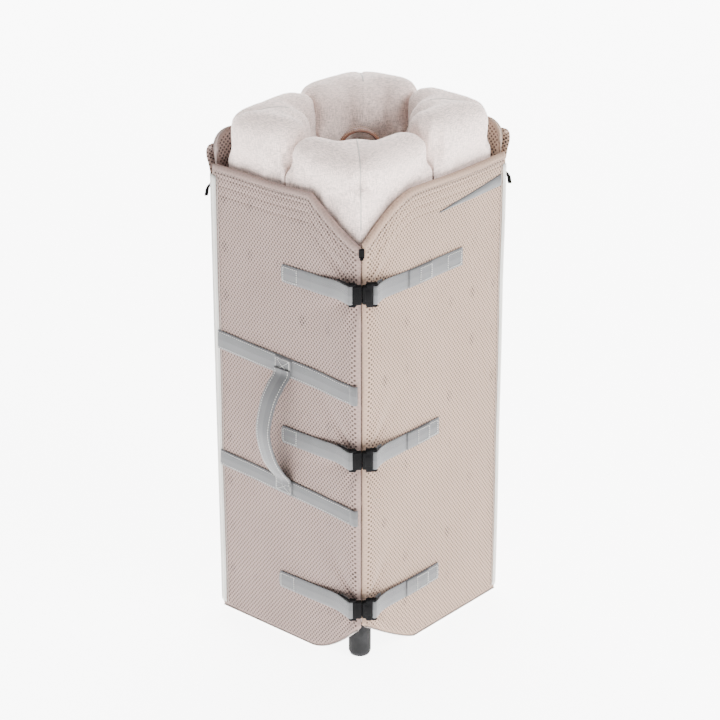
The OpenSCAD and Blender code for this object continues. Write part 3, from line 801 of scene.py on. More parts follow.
# PIECES-START
# ---------------------------------------------------------------- fabric corner covers
def corner_puff(key, top, ex, ey, low, seed):
    cx, cy = SIGN[key]
    ox, oy = XI - 0.0010, YI - 0.0010
    rz = RAIL_Z
    t0 = top - 0.004
    parts = []
    # two arms and a taller middle, all rounded, in the corner's own quadrant
    parts.append(rbox("a", (ex - 0.002, oy - 0.060, rz + 0.004), (ox - 0.003, oy, t0), 0.026, seg=4))
    parts.append(rbox("b", (ox - 0.062, ey - 0.002, rz + 0.004), (ox, oy - 0.003, t0), 0.026, seg=4))
    parts.append(rbox("c", (ex - 0.003, oy - 0.056, rz - 0.010), (ox - 0.002, oy, rz + 0.034), 0.005, seg=2))
    parts.append(rbox("d", (ox - 0.056, ey - 0.003, rz - 0.010), (ox, oy - 0.002, rz + 0.034), 0.005, seg=2))
    parts.append(rbox("g", (ox - 0.096, oy - 0.040, rz - 0.040), (ox - 0.002, oy, rz + 0.030), 0.005, seg=2))
    parts.append(rbox("h", (ox - 0.040, oy - 0.100, rz - 0.040), (ox, oy - 0.002, rz + 0.030), 0.005, seg=2))
    parts.append(rbox("e", (ox - 0.050, oy - 0.050, low), (ox, oy, rz + 0.040), 0.008, seg=2))
    parts.append(rbox("f", (ox - 0.100, oy - 0.100, rz + 0.020), (ox - 0.004, oy - 0.004, t0 + 0.001), 0.034, seg=5))
    o = join("corner_puff_" + key, parts)
    md = o.modifiers.new("r", "REMESH")
    md.mode = "VOXEL"
    md.voxel_size = 0.0062
    md.use_smooth_shade = True
    sm = o.modifiers.new("s", "SMOOTH")
    sm.factor = 0.5
    sm.iterations = 6
    apply_mods(o)
    vg = o.vertex_groups.new(name="pin")
    for v in o.data.vertices:
        w = 1.0 if v.co.z < rz + 0.012 else max(0.0, 1 - (v.co.z - rz - 0.012) / 0.012)
        if w > 0:
            vg.add([v.index], w, "REPLACE")
    cl = o.modifiers.new("Cloth", "CLOTH")
    st = cl.settings
    st.quality = 5
    st.mass = 0.25
    st.tension_stiffness = 12
    st.compression_stiffness = 12
    st.shear_stiffness = 4
    st.bending_stiffness = 0.12
    st.use_pressure = True
    st.uniform_pressure_force = 3.2
    st.vertex_group_mass = "pin"
    st.shrink_min = -0.035
    st.effector_weights.gravity = 0.0
    cl.collision_settings.use_collision = False
    cl.collision_settings.use_self_collision = False
    cl.point_cache.frame_start = 1
    cl.point_cache.frame_end = 22
    for f in range(1, 23):
        SCN.frame_set(f)
    apply_mods(o)
    SCN.frame_set(1)
    n = len(o.data.vertices)
    co = np.zeros(n * 3)
    o.data.vertices.foreach_get("co", co)
    co = co.reshape(-1, 3)
    # keep each cover inside its own quadrant of the wrap
    zt = smooth(ZTOP - 0.004, ZTOP + 0.045, co[:, 2])
    limx = ox + 0.006 * zt
    limy = oy + 0.006 * zt

    def press(v, lim, soft):
        over = v - (lim - soft)
        return np.where(over > 0, lim - soft + soft * (1 - np.exp(-over / soft)), v)

    co[:, 0] = press(co[:, 0], limx, 0.004)
    co[:, 1] = press(co[:, 1], limy, 0.004)
    co[:, 2] = press(co[:, 2], top + 0.004, 0.006)
    gx, gy = ex - 0.0020, ey - 0.0020
    co[:, 0] = -press(-co[:, 0], -gx, 0.004)
    co[:, 1] = -press(-co[:, 1], -gy, 0.004)
    low_end = smooth(ZTOP + 0.030, ZTOP + 0.008, co[:, 2])
    for ax_, g_ in ((0, gx), (1, gy)):
        m_ = smooth(0.020, 0.010, co[:, ax_] - g_) * low_end
        co[:, ax_] = g_ + (co[:, ax_] - g_) * (1 - 0.9 * m_)
    # the arms sink a little towards the seam over the corner, and the seam pulls in
    d = (co[:, 0] - co[:, 1] + (oy - ox)) / math.sqrt(2)
    out = smooth(0.066, 0.020, np.minimum(ox - co[:, 0], oy - co[:, 1]))
    upper = smooth(ZTOP - 0.010, ZTOP + 0.030, co[:, 2])
    dip = 0.003
    co[:, 2] -= dip * np.exp(-(d / 0.030) ** 2) * smooth(top - 0.050, top - 0.004, co[:, 2])
    o.data.vertices.foreach_set("co", co.ravel())
    sub = o.modifiers.new("sub", "SUBSURF")
    sub.levels = 1
    sub.render_levels = 1
    apply_mods(o)
    n = len(o.data.vertices)
    co = np.zeros(n * 3)
    no = np.zeros(n * 3)
    o.data.vertices.foreach_get("co", co)
    o.data.vertices.foreach_get("normal", no)
    co = co.reshape(-1, 3)
    no = no.reshape(-1, 3)
    d = (co[:, 0] - co[:, 1] + (oy - ox)) / math.sqrt(2)
    outer = smooth(0.060, 0.030, np.minimum(ox - co[:, 0], oy - co[:, 1]))
    up = smooth(ZTOP - 0.075, ZTOP - 0.030, co[:, 2])
    seam = np.exp(-(d / 0.0035) ** 2) * 0.0022 + np.exp(-(d / 0.011) ** 2) * 0.0016
    # soft folds, stronger where the arms press on their neighbours and near the hem
    nz = np.abs(no[:, 2])
    u = co[:, 0] * 1.0 + co[:, 1] * 0.8
    folds = noise2(u * 95, co[:, 2] * 16 + 0.4 * np.sin(u * 60), seed) + 0.5 * noise2(u * 210, co[:, 2] * 30, seed + 1)
    ends = np.maximum(np.exp(-((co[:, 0] - gx) / 0.035) ** 2), np.exp(-((co[:, 1] - gy) / 0.035) ** 2))
    inner = smooth(0.030, 0.055, np.minimum(ox - co[:, 0], oy - co[:, 1]))
    lowz = smooth(ZTOP + 0.040, ZTOP - 0.010, co[:, 2])
    amp = (0.0006 + 0.0034 * ends + 0.0016 * inner + 0.0016 * lowz) * (1 - 0.55 * nz)
    disp = folds * amp - seam * outer * up - np.where(folds * amp > 0.0016, folds * amp - 0.0016, 0)
    co += no * disp[:, None]
    co[:, 0] = np.minimum(co[:, 0], ox + 0.006 * smooth(ZTOP - 0.004, ZTOP + 0.045, co[:, 2]))
    co[:, 1] = np.minimum(co[:, 1], oy + 0.006 * smooth(ZTOP - 0.004, ZTOP + 0.045, co[:, 2]))
    co[:, 0] = np.maximum(co[:, 0], gx)
    co[:, 1] = np.maximum(co[:, 1], gy)
    # into the row frame
    co[:, 0] = co[:, 0] * cx + OX
    co[:, 1] = co[:, 1] * cy + OY
    o.data.vertices.foreach_set("co", co.ravel())
    o.data.update()
    if cx * cy < 0:
        bm = bmesh.new()
        bm.from_mesh(o.data)
        bmesh.ops.reverse_faces(bm, faces=bm.faces)
        bm.to_mesh(o.data)
        bm.free()
    # one L-shaped channel for the housing and the rails, rounded at the corner
    x0, x1, y0, y1, rr = PX - 0.0165, PX + 0.0176, PY - 0.0165, PY + 0.0176, 0.014
    pl = [(-0.062, y0), (-0.062, y1), (x1 - rr, y1)]
    pl += [(x1 - rr + rr * math.sin(a), y1 - rr + rr * math.cos(a)) for a in np.linspace(0.2, math.pi / 2 - 0.2, 5)]
    pl += [(x1, y1 - rr), (x1, -0.062), (x0, -0.062), (x0, y0)]
    pl = [(px * cx + OX, py * cy + OY) for px, py in pl]
    k = len(pl)
    V = [(px, py, 0.60) for px, py in pl] + [(px, py, rz + 0.018) for px, py in pl]
    F = [tuple(range(k)), tuple(range(k, 2 * k))[::-1]] + [(i, k + i, k + (i + 1) % k, (i + 1) % k) for i in range(k)]
    c = fix_normals(make_obj("cut", V, F, shade=False))
    before = o.data.copy()
    for solver in ("EXACT", "FAST"):
        o.data = before.copy()
        b = o.modifiers.new("b", "BOOLEAN")
        b.operation = "DIFFERENCE"
        b.solver = solver
        b.object = c
        apply_mods(o)
        zz = [v.co.z for v in o.data.vertices]
        if len(zz) > 0.5 * len(before.vertices) and max(zz) > top - 0.03:
            break
    else:
        o.data = before
        print("channel not cut in", key)
    bpy.data.objects.remove(c)
    o.data.materials.clear()
    o.data.materials.append(M_HEATHER)
    o.data.polygons.foreach_set("use_smooth", [True] * len(o.data.polygons))
    o.data.polygons.foreach_set("material_index", [0] * len(o.data.polygons))
    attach(o, key + "_post")
    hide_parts("corner_cover_" + key)
    # sewn seam from the outer corner over the top
    bm = bmesh.new()
    bm.from_mesh(o.data)
    tree = BVHTree.FromBMesh(bm)
    bm.free()
    cen = W(cx * (ox - 0.040), cy * (oy - 0.040), top - 0.055)
    dg = Vector((cx * R2C, cy * R2C, 0))
    pts, nrm = [], []
    for a in np.linspace(-0.85, 2.25, 90):
        dr = dg * math.cos(a) + Vector((0, 0, 1)) * math.sin(a)
        hit, hn, _, _ = tree.ray_cast(cen + dr * 0.30, -dr)
        if hit is not None and hn.dot(dr) > 0:
            pts.append(hit[:])
            nrm.append(hn[:])
    if len(pts) < 12:
        print("no seam on", key)
        return o
    pts, nrm = np.array(pts), np.array(nrm)
    for _ in range(2):
        pts[1:-1] = (pts[:-2] + pts[1:-1] * 2 + pts[2:]) / 4
    side = np.array([-cy * R2C * cx * cx, cx * R2C * cy * cy, 0.0])
    sm_ = sweep("corner_seam_" + key, pts, side, [(0.0011 * math.cos(t), 0.0006 * math.sin(t)) for t in np.linspace(0, 2 * math.pi, 10, endpoint=False)], M_SEAM)
    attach(sm_, key + "_post")
    return o


R2C = math.sqrt(0.5)
PUFFS = {
    "front": (0.803, -0.008, -0.006, 0.664, 11),
    "left": (0.822, 0.0134, 0.0046, 0.690, 23),
    "right": (0.822, 0.004, 0.012, 0.690, 37),
    "back": (0.824, 0.004, 0.004, 0.690, 51),
}
for k, a in PUFFS.items():
    corner_puff(k, *a)

# ---------------------------------------------------------------- buckles and webbing
BKN = FR + 0.0064
BKX, BKY = XO - FR + BKN * math.cos(math.pi / 4), -YO + FR - BKN * math.sin(math.pi / 4)
R2 = math.sqrt(0.5)


def bk(t, n, z=0.0):
    return np.array([BKX + (t + n) * R2, BKY + (t - n) * R2, z])


def bk_matrix(z):
    """Buckle frame: X along the webbing, Y outwards, Z up."""
    return Matrix(((R2, R2, 0, BKX + OX), (R2, -R2, 0, BKY + OY), (0, 0, 1, z), (0, 0, 0, 1)))


def row(p):
    p = np.asarray(p, float).copy()
    p[..., 0] += OX
    p[..., 1] += OY
    return p


WP = web_profile(0.028, 0.0016, 0.00025)
NAMES = ["bottom", "middle", "top"]
LEFT_END = [-0.019, -0.011, -0.007]
RIGHT_END = [0.013, 0.011, 0.059]
UPV = (0, 0, 1)


def stitch_line(name, pts, normal, body, mat, pitch=0.0034, r=0.00032, ln=0.0022, lift=0.0003):
    """Short raised stitches along a polyline lying on a surface; pts and normals in the row frame."""
    p = np.asarray(pts, float)
    d = np.r_[0, np.cumsum(np.linalg.norm(np.diff(p, axis=0), axis=1))]
    n = max(2, int(d[-1] / pitch))
    c = (np.arange(n) + 0.5) * d[-1] / n
    q = np.stack([np.interp(c, d, p[:, i]) for i in range(3)], -1)
    q2 = np.stack([np.interp(np.minimum(c + 0.0004, d[-1]), d, p[:, i]) for i in range(3)], -1)
    q1 = np.stack([np.interp(np.maximum(c - 0.0004, 0), d, p[:, i]) for i in range(3)], -1)
    t = q2 - q1
    t /= np.linalg.norm(t, axis=1)[:, None] + 1e-12
    nn = np.asarray(normal, float)
    nn = np.broadcast_to(nn, p.shape)
    nr = np.stack([np.interp(c, d, nn[:, i]) for i in range(3)], -1)
    nr /= np.linalg.norm(nr, axis=1)[:, None] + 1e-12
    b = np.cross(t, nr)
    V, F = [], []
    q = q + nr * lift
    for i in range(n):
        base = len(V)
        for (a, w, h) in ((-0.5, 0.55, -0.6), (-0.28, 1, 0.75), (0.28, 1, 0.75), (0.5, 0.55, -0.6)):
            o_ = q[i] + t[i] * ln * a
            for (cb, cn) in ((-1, -0.7), (-0.6, 1), (0.6, 1), (1, -0.7)):
                V.append(o_ + b[i] * r * cb * w + nr[i] * r * (cn * w + (h if cn > 0 else h * 0.2)))
        for s_ in range(3):
            for e in range(4):
                f = (e + 1) % 4
                F.append((base + s_ * 4 + e, base + s_ * 4 + f, base + (s_ + 1) * 4 + f, base + (s_ + 1) * 4 + e))
        F.append((base + 3, base + 2, base + 1, base))
        F.append((base + 12, base + 13, base + 14, base + 15))
    o = make_obj(name, V, F, mat=mat)
    fix_normals(o)
    if isinstance(body, tuple):
        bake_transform(o)
    elif body:
        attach(o, body)
    return o


def on_a(s, z, lift):
    return PA.point(np.asarray(s, float), np.asarray(z, float), lift)


def on_d(s, z, lift):
    return PD.point(np.asarray(s, float), np.asarray(z, float), lift)


for i, (nm, bz, kz) in enumerate(zip(NAMES, BZ, BUCKLE_Z)):
    # left strap: along the panel, off it near the corner, round the plug's bar and back on itself
    s_on = np.linspace(LEFT_END[i] + XO, XO + 0.088, 46)
    p1 = on_a(s_on, 0 * s_on + bz, 0.0013) - np.array([OX, OY, 0])
    cut = s_on < XO + 0.052
    p1 = p1[cut]
    c0 = bk(-0.0168, 0.0, bz)
    ctrl = np.array([p1[-2], p1[-1], [0.078, -YO - 0.0030, bz], [0.098, -YO - 0.0052, bz], [0.114, -YO - 0.0088, bz], [0.1245, -YO - 0.0118, bz]])
    p2 = bezier(ctrl, 36)[7:]
    ang = np.linspace(-0.25, math.pi - 0.25, 13)
    loop = np.array([c0 + 0.0034 * np.array([math.sin(a), -math.cos(a), 0]) for a in ang])
    back_run = bezier(np.array([loop[-2], loop[-1], [0.1255, -YO - 0.0058, bz], [0.1165, -YO - 0.0030, bz], [0.1080, -YO - 0.0022, bz]]), 20)
    path = np.vstack([p1, p2[:-1], loop, back_run[3:]])
    keep = np.r_[True, np.linalg.norm(np.diff(path, axis=0), axis=1) > 0.0004]
    path = path[keep]
    dd = np.r_[0, np.cumsum(np.linalg.norm(np.diff(path[:, :2], axis=0), axis=1))]
    path[:, 2] = bz + (kz - bz) * smooth(0.055, 0.135, dd)
    ws = np.ones(len(path))
    dd = np.r_[0, np.cumsum(np.linalg.norm(np.diff(path, axis=0), axis=1))]
    rr = 0.0035
    ws = np.where(dd < rr, 1 - (1 - np.sqrt(np.clip(1 - (1 - dd / rr) ** 2, 0, 1))) * 0.35, 1.0)
    o = sweep("closure_strap_left_" + nm, row(path), UPV, WP, M_WEB, wscale=ws)
    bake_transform(o)
    if nm == "bottom":
        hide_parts("closure_straps_left")
    # box stitching at its sewn end
    s0, s1, zz = LEFT_END[i] + XO + 0.004, LEFT_END[i] + XO + 0.030, 0.0105
    sq = np.array([(s0, bz - zz), (s1, bz - zz), (s1, bz + zz), (s0, bz + zz), (s0, bz - zz)])
    dens = np.vstack([np.linspace(sq[j], sq[j + 1], 14)[:-1] for j in range(4)] + [sq[-1:]])
    stitch_line("stitch_left_" + nm, on_a(dens[:, 0], dens[:, 1], 0.0025), PA.normal(dens[:, 0]), "front_cover", M_THREAD)
    # right strap
    s_on = np.linspace(YO - RIGHT_END[i], YO + 0.112, 60)
    p1 = on_d(s_on, 0 * s_on + bz, 0.0013) - np.array([OX, OY, 0])
    cut = s_on < YO + 0.066
    p1 = p1[cut]
    c0 = bk(0.0186, 0.0, bz)
    ctrl = np.array([p1[-2], p1[-1], [XO + 0.0030, -0.094, bz], [XO + 0.0052, -0.114, bz], [XO + 0.0086, -0.130, bz], [XO + 0.0122, -0.1405, bz]])
    p2 = bezier(ctrl, 36)[7:]
    ang = np.linspace(-0.25, math.pi - 0.25, 13)
    loop = np.array([c0 + 0.0034 * np.array([math.cos(a), -math.sin(a), 0]) for a in ang])
    back_run = bezier(np.array([loop[-2], loop[-1], [XO + 0.0062, -0.1415, bz], [XO + 0.0032, -0.1325, bz], [XO + 0.0022, -0.1240, bz]]), 20)
    path = np.vstack([p1, p2[:-1], loop, back_run[3:]])
    keep = np.r_[True, np.linalg.norm(np.diff(path, axis=0), axis=1) > 0.0004]
    path = path[keep]
    dd = np.r_[0, np.cumsum(np.linalg.norm(np.diff(path[:, :2], axis=0), axis=1))]
    dd = dd[-1] - dd
    path[:, 2] = bz + (kz - bz) * smooth(0.125, 0.045, dd)
    o = sweep("closure_strap_right_" + nm, row(path), UPV, WP, M_WEB)
    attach(o, "front_cover")
    if nm == "bottom":
        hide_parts("closure_straps_right")
    # the doubled part of the strap, with its sewn end
    s_on = np.linspace(YO + 0.012, YO + 0.064, 24)
    dbl = sweep("strap_fold_right_" + nm, on_d(s_on, 0 * s_on + bz, 0.0030), UPV, web_profile(0.027, 0.0014, 0.0002), M_WEB)
    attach(dbl, "front_cover")
    e0 = YO - RIGHT_END[i]
    for (s0, s1, lift, tag) in ((e0 + 0.004, e0 + 0.034, 0.0025, "end"), (YO + 0.015, YO + 0.040, 0.0041, "fold")):
        sq = np.array([(s0, bz - zz), (s1, bz - zz), (s1, bz + zz), (s0, bz + zz), (s0, bz - zz)])
        dens = np.vstack([np.linspace(sq[j], sq[j + 1], 14)[:-1] for j in range(4)] + [sq[-1:]])
        stitch_line("stitch_right_" + tag + "_" + nm, on_d(dens[:, 0], dens[:, 1], lift), PD.normal(dens[:, 0]), "front_cover", M_THREAD)
    # socket half: body with waisted sides and a web bar
    M = bk_matrix(kz)
    sk = [
        rbox("s1", (0.0001, -0.0050, -0.0140), (0.0120, 0.0050, 0.0140), 0.0024, M_BUCKLE, 3, M),
        rbox("s2", (0.0052, -0.0048, -0.0184), (0.0160, 0.0050, 0.0184), 0.0034, M_BUCKLE, 4, M),
        rbox("s3", (0.0120, -0.0042, 0.0138), (0.0222, 0.0034, 0.0180), 0.0016, M_BUCKLE, 3, M),
        rbox("s4", (0.0120, -0.0042, -0.0180), (0.0222, 0.0034, -0.0138), 0.0016, M_BUCKLE, 3, M),
        rbox("s5", (0.0168, -0.0016, -0.0160), (0.0204, 0.0016, 0.0160), 0.0012, M_BUCKLE, 3, M),
        rbox("s6", (0.0040, 0.0044, -0.0085), (0.0135, 0.0060, 0.0085), 0.0010, M_BUCKLE, 2, M),
    ]
    so = join("buckle_socket_" + nm, sk)
    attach(so, "front_cover")
    if nm == "bottom":
        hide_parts("buckle_sockets")
    pl = [
        rbox("p1", (-0.0138, -0.0046, -0.0142), (-0.0003, 0.0046, 0.0142), 0.0020, M_BUCKLE, 3, M),
        rbox("p2", (-0.0196, -0.0040, 0.0136), (-0.0085, 0.0040, 0.0176), 0.0018, M_BUCKLE, 3, M),
        rbox("p3", (-0.0196, -0.0040, -0.0176), (-0.0085, 0.0040, -0.0136), 0.0018, M_BUCKLE, 3, M),
        rbox("p4", (-0.0186, -0.0015, -0.0158), (-0.0152, 0.0015, 0.0158), 0.0012, M_BUCKLE, 3, M),
        rbox("p5", (-0.0015, -0.0025, -0.0100), (0.0110, 0.0025, -0.0065), 0.0010, M_BUCKLE, 3, M),
        rbox("p6", (-0.0015, -0.0025, 0.0065), (0.0110, 0.0025, 0.0100), 0.0010, M_BUCKLE, 3, M),
    ]
    c1, c2 = bk(-0.0180, -0.0005, kz + 0.0157), np.array([0.1080, -YO - 0.0095, kz + 0.0170])
    tail = sweep("tail", row(np.linspace(c1, c2, 6)), UPV, [(0.0011 * math.cos(a), 0.0016 * math.sin(a)) for a in np.linspace(0, 2 * math.pi, 10, endpoint=False)], M_BUCKLE)
    pl.append(tail)
    for k in range(5):
        pl.append(rbox("g", (-0.0104 + 0.0020 * k, 0.0040, -0.0100), (-0.0094 + 0.0020 * k, 0.0050, 0.0100), 0.0003, M_BUCKLE, 2, M))
    po = join("buckle_plug_shape_" + nm, pl)
    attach(po, "buckle_plug_" + nm)
    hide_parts("buckle_plug_" + nm)

# ---------------------------------------------------------------- handle bands and carry handle
def band(name, z0, z1, w, first):
    # from the left edge to the front corner, where it ends in a small folded loop
    s = np.linspace(0.0075, 2 * XO - FR - 0.001, 90)
    z = z0 + (z1 - z0) * (s / s[-1])
    p = on_a(s, z, 0.0013)
    q = p[-1] - np.array([OX, OY, 0])
    x1, y1 = q[0], q[1]
    zc = z1
    end = [[x1 + 0.004, y1 - 0.0012, zc], [x1 + 0.009, y1 - 0.0014, zc], [x1 + 0.0118, y1 + 0.0004, zc], [x1 + 0.0122, y1 + 0.0030, zc]]
    e = bezier(np.vstack([p[-2] - np.array([OX, OY, 0]), [q], end]), 26)[6:]
    path = np.vstack([p, row(e)])
    keep = np.r_[True, np.linalg.norm(np.diff(path, axis=0), axis=1) > 0.0004]
    path = path[keep]
    o = sweep(name, path, UPV, web_profile(w, 0.0016, 0.00025), M_WEB)
    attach(o, "front_cover")
    if first:
        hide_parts("handle_bands")
    for k, sg in enumerate((-1, 1)):
        zz = z + sg * (w / 2 - 0.0028)
        stitch_line(name + "_stitch_%d" % k, on_a(s, zz, 0.0024), PA.normal(s), "front_cover", M_THREAD, 0.0042)
    # patch of doubled webbing with a crossed box of stitches under the handle's end
    sc = XO - 0.006
    zc = z0 + (z1 - z0) * (sc / s[-1])
    hw, hh = 0.0165, w / 2 - 0.0015
    ss = np.linspace(sc - hw, sc + hw, 12)
    pt = sweep(name + "_patch", on_a(ss, z0 + (z1 - z0) * (ss / s[-1]), 0.0030), UPV, web_profile(2 * hh, 0.0014, 0.0002), M_WEB)
    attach(pt, "front_cover")
    a, b = hw - 0.003, hh - 0.003
    cs = [(-a, -b), (a, -b), (a, b), (-a, b), (-a, -b), (a, b), (a, -b), (-a, b)]
    dens = np.vstack([np.linspace(cs[j], cs[j + 1], 12)[:-1] for j in range(len(cs) - 1)])
    sx = sc + dens[:, 0]
    sz = z0 + (z1 - z0) * (sx / s[-1]) + dens[:, 1]
    stitch_line(name + "_box", on_a(sx, sz, 0.0040), PA.normal(sx), "front_cover", M_THREAD, 0.0030)
    return zc


zh = band("handle_band_upper", 0.462, 0.449, 0.030, True)
zl = band("handle_band_lower", 0.266, 0.252, 0.026, False)

# carry handle: flat webbing in a bow, its edges folded towards each other in the middle
hx = -0.006
zc_h = np.array([zh - 0.004, zh - 0.014, 0.425, 0.400, 0.357, 0.314, 0.289, zl + 0.014, zl + 0.004])
yo_h = np.array([0.0042, 0.0055, 0.0170, 0.0290, 0.0375, 0.0290, 0.0170, 0.0055, 0.0042])
xo_h = np.array([0.0, 0.0, -0.0030, -0.0065, -0.0085, -0.0060, -0.0025, 0.0, 0.0])
ctrl = np.stack([hx + xo_h, -YO - yo_h, zc_h], -1)
path = row(bezier(ctrl, 72))
mid = np.exp(-((path[:, 2] - 0.357) / 0.055) ** 2)
hp = web_profile(0.033, 0.0026, 0.0004)
o = sweep("carry_handle_webbing", path, (1, 0, 0), hp, M_WEB, wscale=1 - 0.14 * mid)
hs, he = W(hx, -YO - 0.0085, 0.357), W(hx, -YO - 0.0260, 0.357)
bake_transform(o)
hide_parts("carry_handle")
edge = sweep("carry_handle_edge", path + np.array([0.0146, -0.0003, 0]) * (1 - 0.14 * mid)[:, None], (1, 0, 0), round_profile(0.0011, 8), M_BUCKLE)
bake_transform(edge)
for sg in (-1, 1):
    pp = path + np.array([sg * 0.0125, 0, 0]) * (1 - 0.14 * mid)[:, None]
    _, t_, s_, n_ = frames(path, (1, 0, 0))
    nn = np.where((n_[:, 1] < 0)[:, None], n_, -n_)
    st = stitch_line("carry_handle_stitch_%d" % (sg + 1), pp + nn * 0.0013, nn, ("front_cover", "carry_handle", hs, he), M_THREAD, 0.0040)

# ---------------------------------------------------------------- hems, seams and edges of the panels
def hem_stitches(P, name, body, depth, lift=0.0002, mat=None):
    s = np.linspace(0.006, P.W - 0.004, 160)
    slope = np.gradient(P.top(s), s)
    z = P.top(s) - depth * np.sqrt(1 + slope ** 2)
    pts = P.point(s, z, lift)
    return stitch_line(name, pts, P.normal(s), body, mat or M_THREAD_D, 0.0036, 0.00030, 0.0024)


for P, tag, body in ((PA, "left_front", "front_cover"), (PD, "right_front", "front_cover"), (PB, "left_back", "back_cover"), (PC, "right_back", "back_flap")):
    hem_stitches(P, "hem_stitch_1_" + tag, body, 0.0082)
    hem_stitches(P, "hem_stitch_2_" + tag, body, 0.0114)

# dark binding along the bottom edges and up the front edges
def edge_binding(P, name, body):
    s = np.r_[np.linspace(0.004, P.W - 0.004, 150)]
    z = P.low(s) + 0.0010
    x, y, nx, ny = P.pos(s, 0 * s + 0.0012)
    pts = np.stack([x + OX, y + OY, z], -1)
    o = sweep(name, pts, P.normal(s), [(0.0052 * math.cos(a), 0.0013 * math.sin(a)) for a in np.linspace(0, 2 * math.pi, 14, endpoint=False)], M_BIND)
    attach(o, body)
    return o


for P, tag, body in ((PA, "left_front", "front_cover"), (PD, "right_front", "front_cover"), (PB, "left_back", "back_cover"), (PC, "right_back", "back_flap")):
    edge_binding(P, "edge_binding_" + tag, body)

# grey band sewn across the upper right of the right front panel
bs = np.linspace(YO - 0.150, YO - 0.006, 40)
bt = smooth(0, 1, (bs - bs[0]) / (bs[-1] - bs[0]))
V, F, UV = [], [], []
for j, s in enumerate(bs):
    k = j / (len(bs) - 1)
    w = 0.0085 * (1 - k) + 0.0007
    zc = 0.696 - 0.012 * k
    for m, (dz, lf) in enumerate(((-1, 0.0000), (-0.85, 0.0012), (0, 0.0014), (0.85, 0.0012), (1, 0.0000))):
        V.append(on_d(np.array([s]), np.array([zc + dz * w]), lf)[0])
        UV.append((s, dz * w))
    V.append(on_d(np.array([s]), np.array([zc]), -0.0010)[0])
    UV.append((s, 0))
for j in range(len(bs) - 1):
    for m in range(6):
        a, b = j * 6 + m, j * 6 + (m + 1) % 6
        F.append((a, b, b + 6, a + 6))
F.append(tuple(range(6))[::-1])
F.append(tuple((len(bs) - 1) * 6 + m for m in range(6)))
o = fix_normals(make_obj("label_band_right", V, F, UV, mat=M_WEB))
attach(o, "front_cover")

# tape of the zips along the far edges of the two front panels, with raised edges
for tag, P, far, sdir in (("left", PA, np.array([-1.0, 0, 0]), np.array([1.0, 0, 0])), ("right", PD, np.array([0, 1.0, 0]), np.array([0, -1.0, 0]))):
    zs = np.linspace(ZLOW + 0.008, ZTOP - 0.016, 120)
    for k, (sc, w, lf, mt) in enumerate(((0.0062, 0.0085, 0.0006, M_TAPE), (0.0140, 0.0011, 0.0010, M_BIND))):
        p = P.point(0 * zs + sc, zs, lf)
        t = sweep("edge_tape_%s_%d" % (tag, k), p, sdir, web_profile(w, 0.0011), mt)
        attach(t, "front_cover")
    x, y, nx, ny = P.pos(0 * zs + 0.001, 0 * zs + (PT / 2 - 0.0032))
    fin = np.stack([x + OX, y + OY, zs], -1) + far * 0.0024
    fw = 0.0070 - 0.0035 * smooth(ZTOP - 0.2, ZLOW, zs)
    if tag == "right":
        continue
    t = sweep("edge_fin_" + tag, fin, far, web_profile(0.0066, 0.0012), M_TAPE, wscale=fw / 0.0070)
    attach(t, "front_cover")

# small hook at the front corner under the notch
M = Matrix(((R2, R2, 0, XO - FR + (FR - 0.001) * R2 + OX), (R2, -R2, 0, -YO + FR - (FR - 0.001) * R2 + OY), (0, 0, 1, 0.667), (0, 0, 0, 1)))
hk = join("front_hook", [
    rbox("h1", (-0.0040, -0.0010, -0.0080), (0.0040, 0.0016, 0.0060), 0.0012, M_BUCKLE, 3, M),
    rbox("h2", (-0.0025, 0.0006, -0.0105), (0.0025, 0.0040, -0.0070), 0.0011, M_BUCKLE, 3, M)])
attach(hk, "front_cover")

